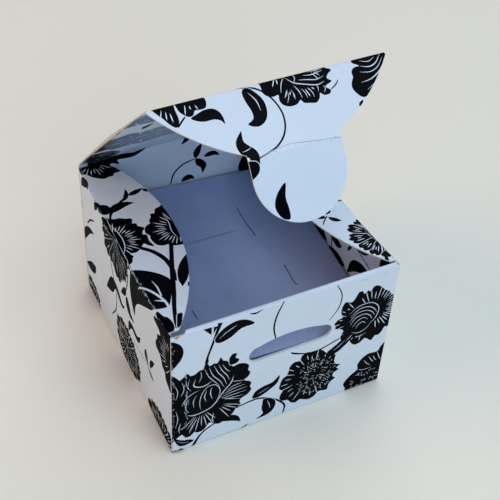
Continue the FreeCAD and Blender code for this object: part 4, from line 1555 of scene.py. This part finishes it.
def strip(y0, y1):
    """A band right across the lid, between two lines of the blank."""
    return [(left_edge(y0), y0), (lid_right, y0), (lid_right, y1), (left_edge(y1), y1)]


lid_panel = cut_sheet(
    "lid_panel_card", strip(lid_start + crease_half, flap_start - crease_half), (), outer_print, inner_print,
)
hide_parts("lid_panel")
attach(lid_panel, "lid")

neck_left, neck_right = tongue_middle - tongue_width / 2, tongue_middle + tongue_width / 2
neck_line = flap_start + neck
flap_left_at = (front_left, flap_start + crease_half)
flap_right_at = (lid_right, flap_start + crease_half)


def bulged(a, b):
    """A side edge of the front flap: an arc that swells outwards between its ends."""
    mx, my = (a[0] + b[0]) / 2, (a[1] + b[1]) / 2
    dx, dy = b[0] - a[0], b[1] - a[1]
    run = math.hypot(dx, dy)
    away = 1 if (dy * (mx - tongue_middle)) > 0 else -1
    middle = (mx + away * dy / run * flap_belly, my - away * dx / run * flap_belly)
    return through_three(a, middle, b, 24)


flap_end = tongue_start - crease_half
flap_outline = bulged(flap_right_at, (neck_right, neck_line))
flap_outline += [(neck_right, flap_end), (neck_left, flap_end)]
flap_outline += bulged((neck_left, neck_line), flap_left_at)
front_flap = cut_sheet("lid_front_flap_card", flap_outline, (), outer_print, inner_print)
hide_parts("lid_front_flap")
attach(front_flap, "front_flap")

shoulder = tongue_start + tongue_straight
round_end = through_three(
    (neck_right, shoulder), (tongue_middle, tongue_start + tongue_length), (neck_left, shoulder), 40,
)
tongue_foot = tongue_start + crease_half
tongue_outline = [(neck_left, tongue_foot), (neck_right, tongue_foot)] + round_end
lock_tongue = cut_sheet("lock_tongue_card", tongue_outline, (), outer_print, inner_print)
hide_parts("lock_tongue")
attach(lock_tongue, "tongue")

creases = [
    ("back_crease", lid_start, lid_turn, lid_left, lid_right, "root", "lid"),
    ("front_crease", flap_start, flap_turn, front_left, lid_right, "lid", "front_flap"),
    ("tongue_crease", tongue_start, tongue_turn, neck_left, neck_right, "front_flap", "tongue"),
]
for name, line, turn, low, high, before, after in creases:
    y0, y1 = line - crease_half, line + crease_half
    shape = [(low, y0), (high, y0), (high, y1), (low, y1)]
    lines = fold_lines(line, crease_fold, turn, low - 1, high + 1, True)
    piece = cut_sheet(name, shape, (), outer_print, inner_print, lines)
    middle = (low + high) / 2
    folded(middle, y0, card / 2) * mm
    folded(middle, y1, card / 2) * mm
    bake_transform(piece)


# The platform
# A loose insert of matte lavender-grey card, dyed through and uncoated, with slits for an earring
# or a card. It keeps its solid's shape and rests in the tray.

# Dull and slightly furry, with no highlight; the fibres are drawn a little coarser than they are.
grey_card = fibrous("dyed_uncoated_card", "b3c0e2", "8490ba", roughness=0.8, fibre=0.4, strength=0.8)
platform = frame["nodes"]["platform"]
for place in range(len(platform.material_slots)):
    platform.material_slots[place].material = grey_card


# The table, the light and the camera
# A plain pale table top, cool light from a window in front and to the right, softer light above,
# warm light back from the room on the left and a weak window far behind.

table_material, table_tree = new_material("matte_white_laminate")
table_shader = add_node(table_tree, "ShaderNodeBsdfPrincipled", Base_Color=linear("fdf3e2"), Roughness=0.85)
add_node(table_tree, "ShaderNodeOutputMaterial", Surface=table_shader.outputs[0])
# It lies a tenth of a millimetre below the box, so that their faces don't meet.
bpy.ops.mesh.primitive_plane_add(size=4.0, location=(0, 0, -0.1 * mm))
table = bpy.context.object
table.name = "table_top"
table.data.materials.append(table_material)

world = bpy.data.worlds.new("room")
bpy.context.scene.world = world
world.use_nodes = True
room_light = world.node_tree.nodes["Background"]
room_light.inputs["Color"].default_value = linear("cbe2fa")
room_light.inputs["Strength"].default_value = 0.3

middle = Vector((0, 0, 30.0)) * mm      # the lamps face this place in the box


def area_light(name, azimuth, elevation, distance, size, power, colour):
    """A soft square light that faces the box: degrees round from the front, and up."""
    a, e = math.radians(azimuth), math.radians(elevation)
    back = Vector((math.sin(a) * math.cos(e), -math.cos(a) * math.cos(e), math.sin(e)))
    data = bpy.data.lights.new(name, "AREA")
    data.size, data.energy, data.color = size, power, linear(colour)[:3]
    lamp = bpy.data.objects.new(name, data)
    lamp.location = middle + back * distance
    lamp.rotation_mode = "QUATERNION"
    lamp.rotation_quaternion = back.to_track_quat("Z", "Y")
    bpy.context.scene.collection.objects.link(lamp)
    return lamp


area_light("window", 14, 50, distance=0.9, size=0.6, power=2.1, colour="d0e8f9")
area_light("ceiling", 60, 76, distance=1.0, size=0.8, power=2.6, colour="e2f1fb")
area_light("low_window", -14, 24, distance=0.5, size=0.3, power=0.48, colour="b4d8fb")
area_light("room_fill", -104, 40, distance=1.0, size=0.6, power=2.4, colour="ffc894")
area_light("far_window", 150, 42, distance=0.9, size=0.6, power=1.7, colour="dfe9f5")

# A long lens, a little over a quarter of a metre away, from the left and well above.
aim = Vector((9.8, 10.2, 13.5)) * mm
azimuth, elevation, roll = math.radians(-27.7), math.radians(45.3), math.radians(3.57)
distance = 257.5 * mm
back = Vector((
    math.sin(azimuth) * math.cos(elevation), -math.cos(azimuth) * math.cos(elevation), math.sin(elevation),
))
right = Vector((math.cos(azimuth), math.sin(azimuth), 0))
up = back.cross(right)
camera_data = bpy.data.cameras.new("camera")
camera_data.lens = 79.2
camera_data.sensor_width = 36.0
camera_data.clip_start = 0.01
camera = bpy.data.objects.new("camera", camera_data)
turned_right = right * math.cos(roll) + up * math.sin(roll)
turned_up = up * math.cos(roll) - right * math.sin(roll)
camera.matrix_world = Matrix.Translation(aim + back * distance) @ Matrix(
    (turned_right, turned_up, back),
).transposed().to_4x4()
bpy.context.scene.collection.objects.link(camera)
bpy.context.scene.camera = camera
bpy.context.scene.view_settings.view_transform = "Standard"
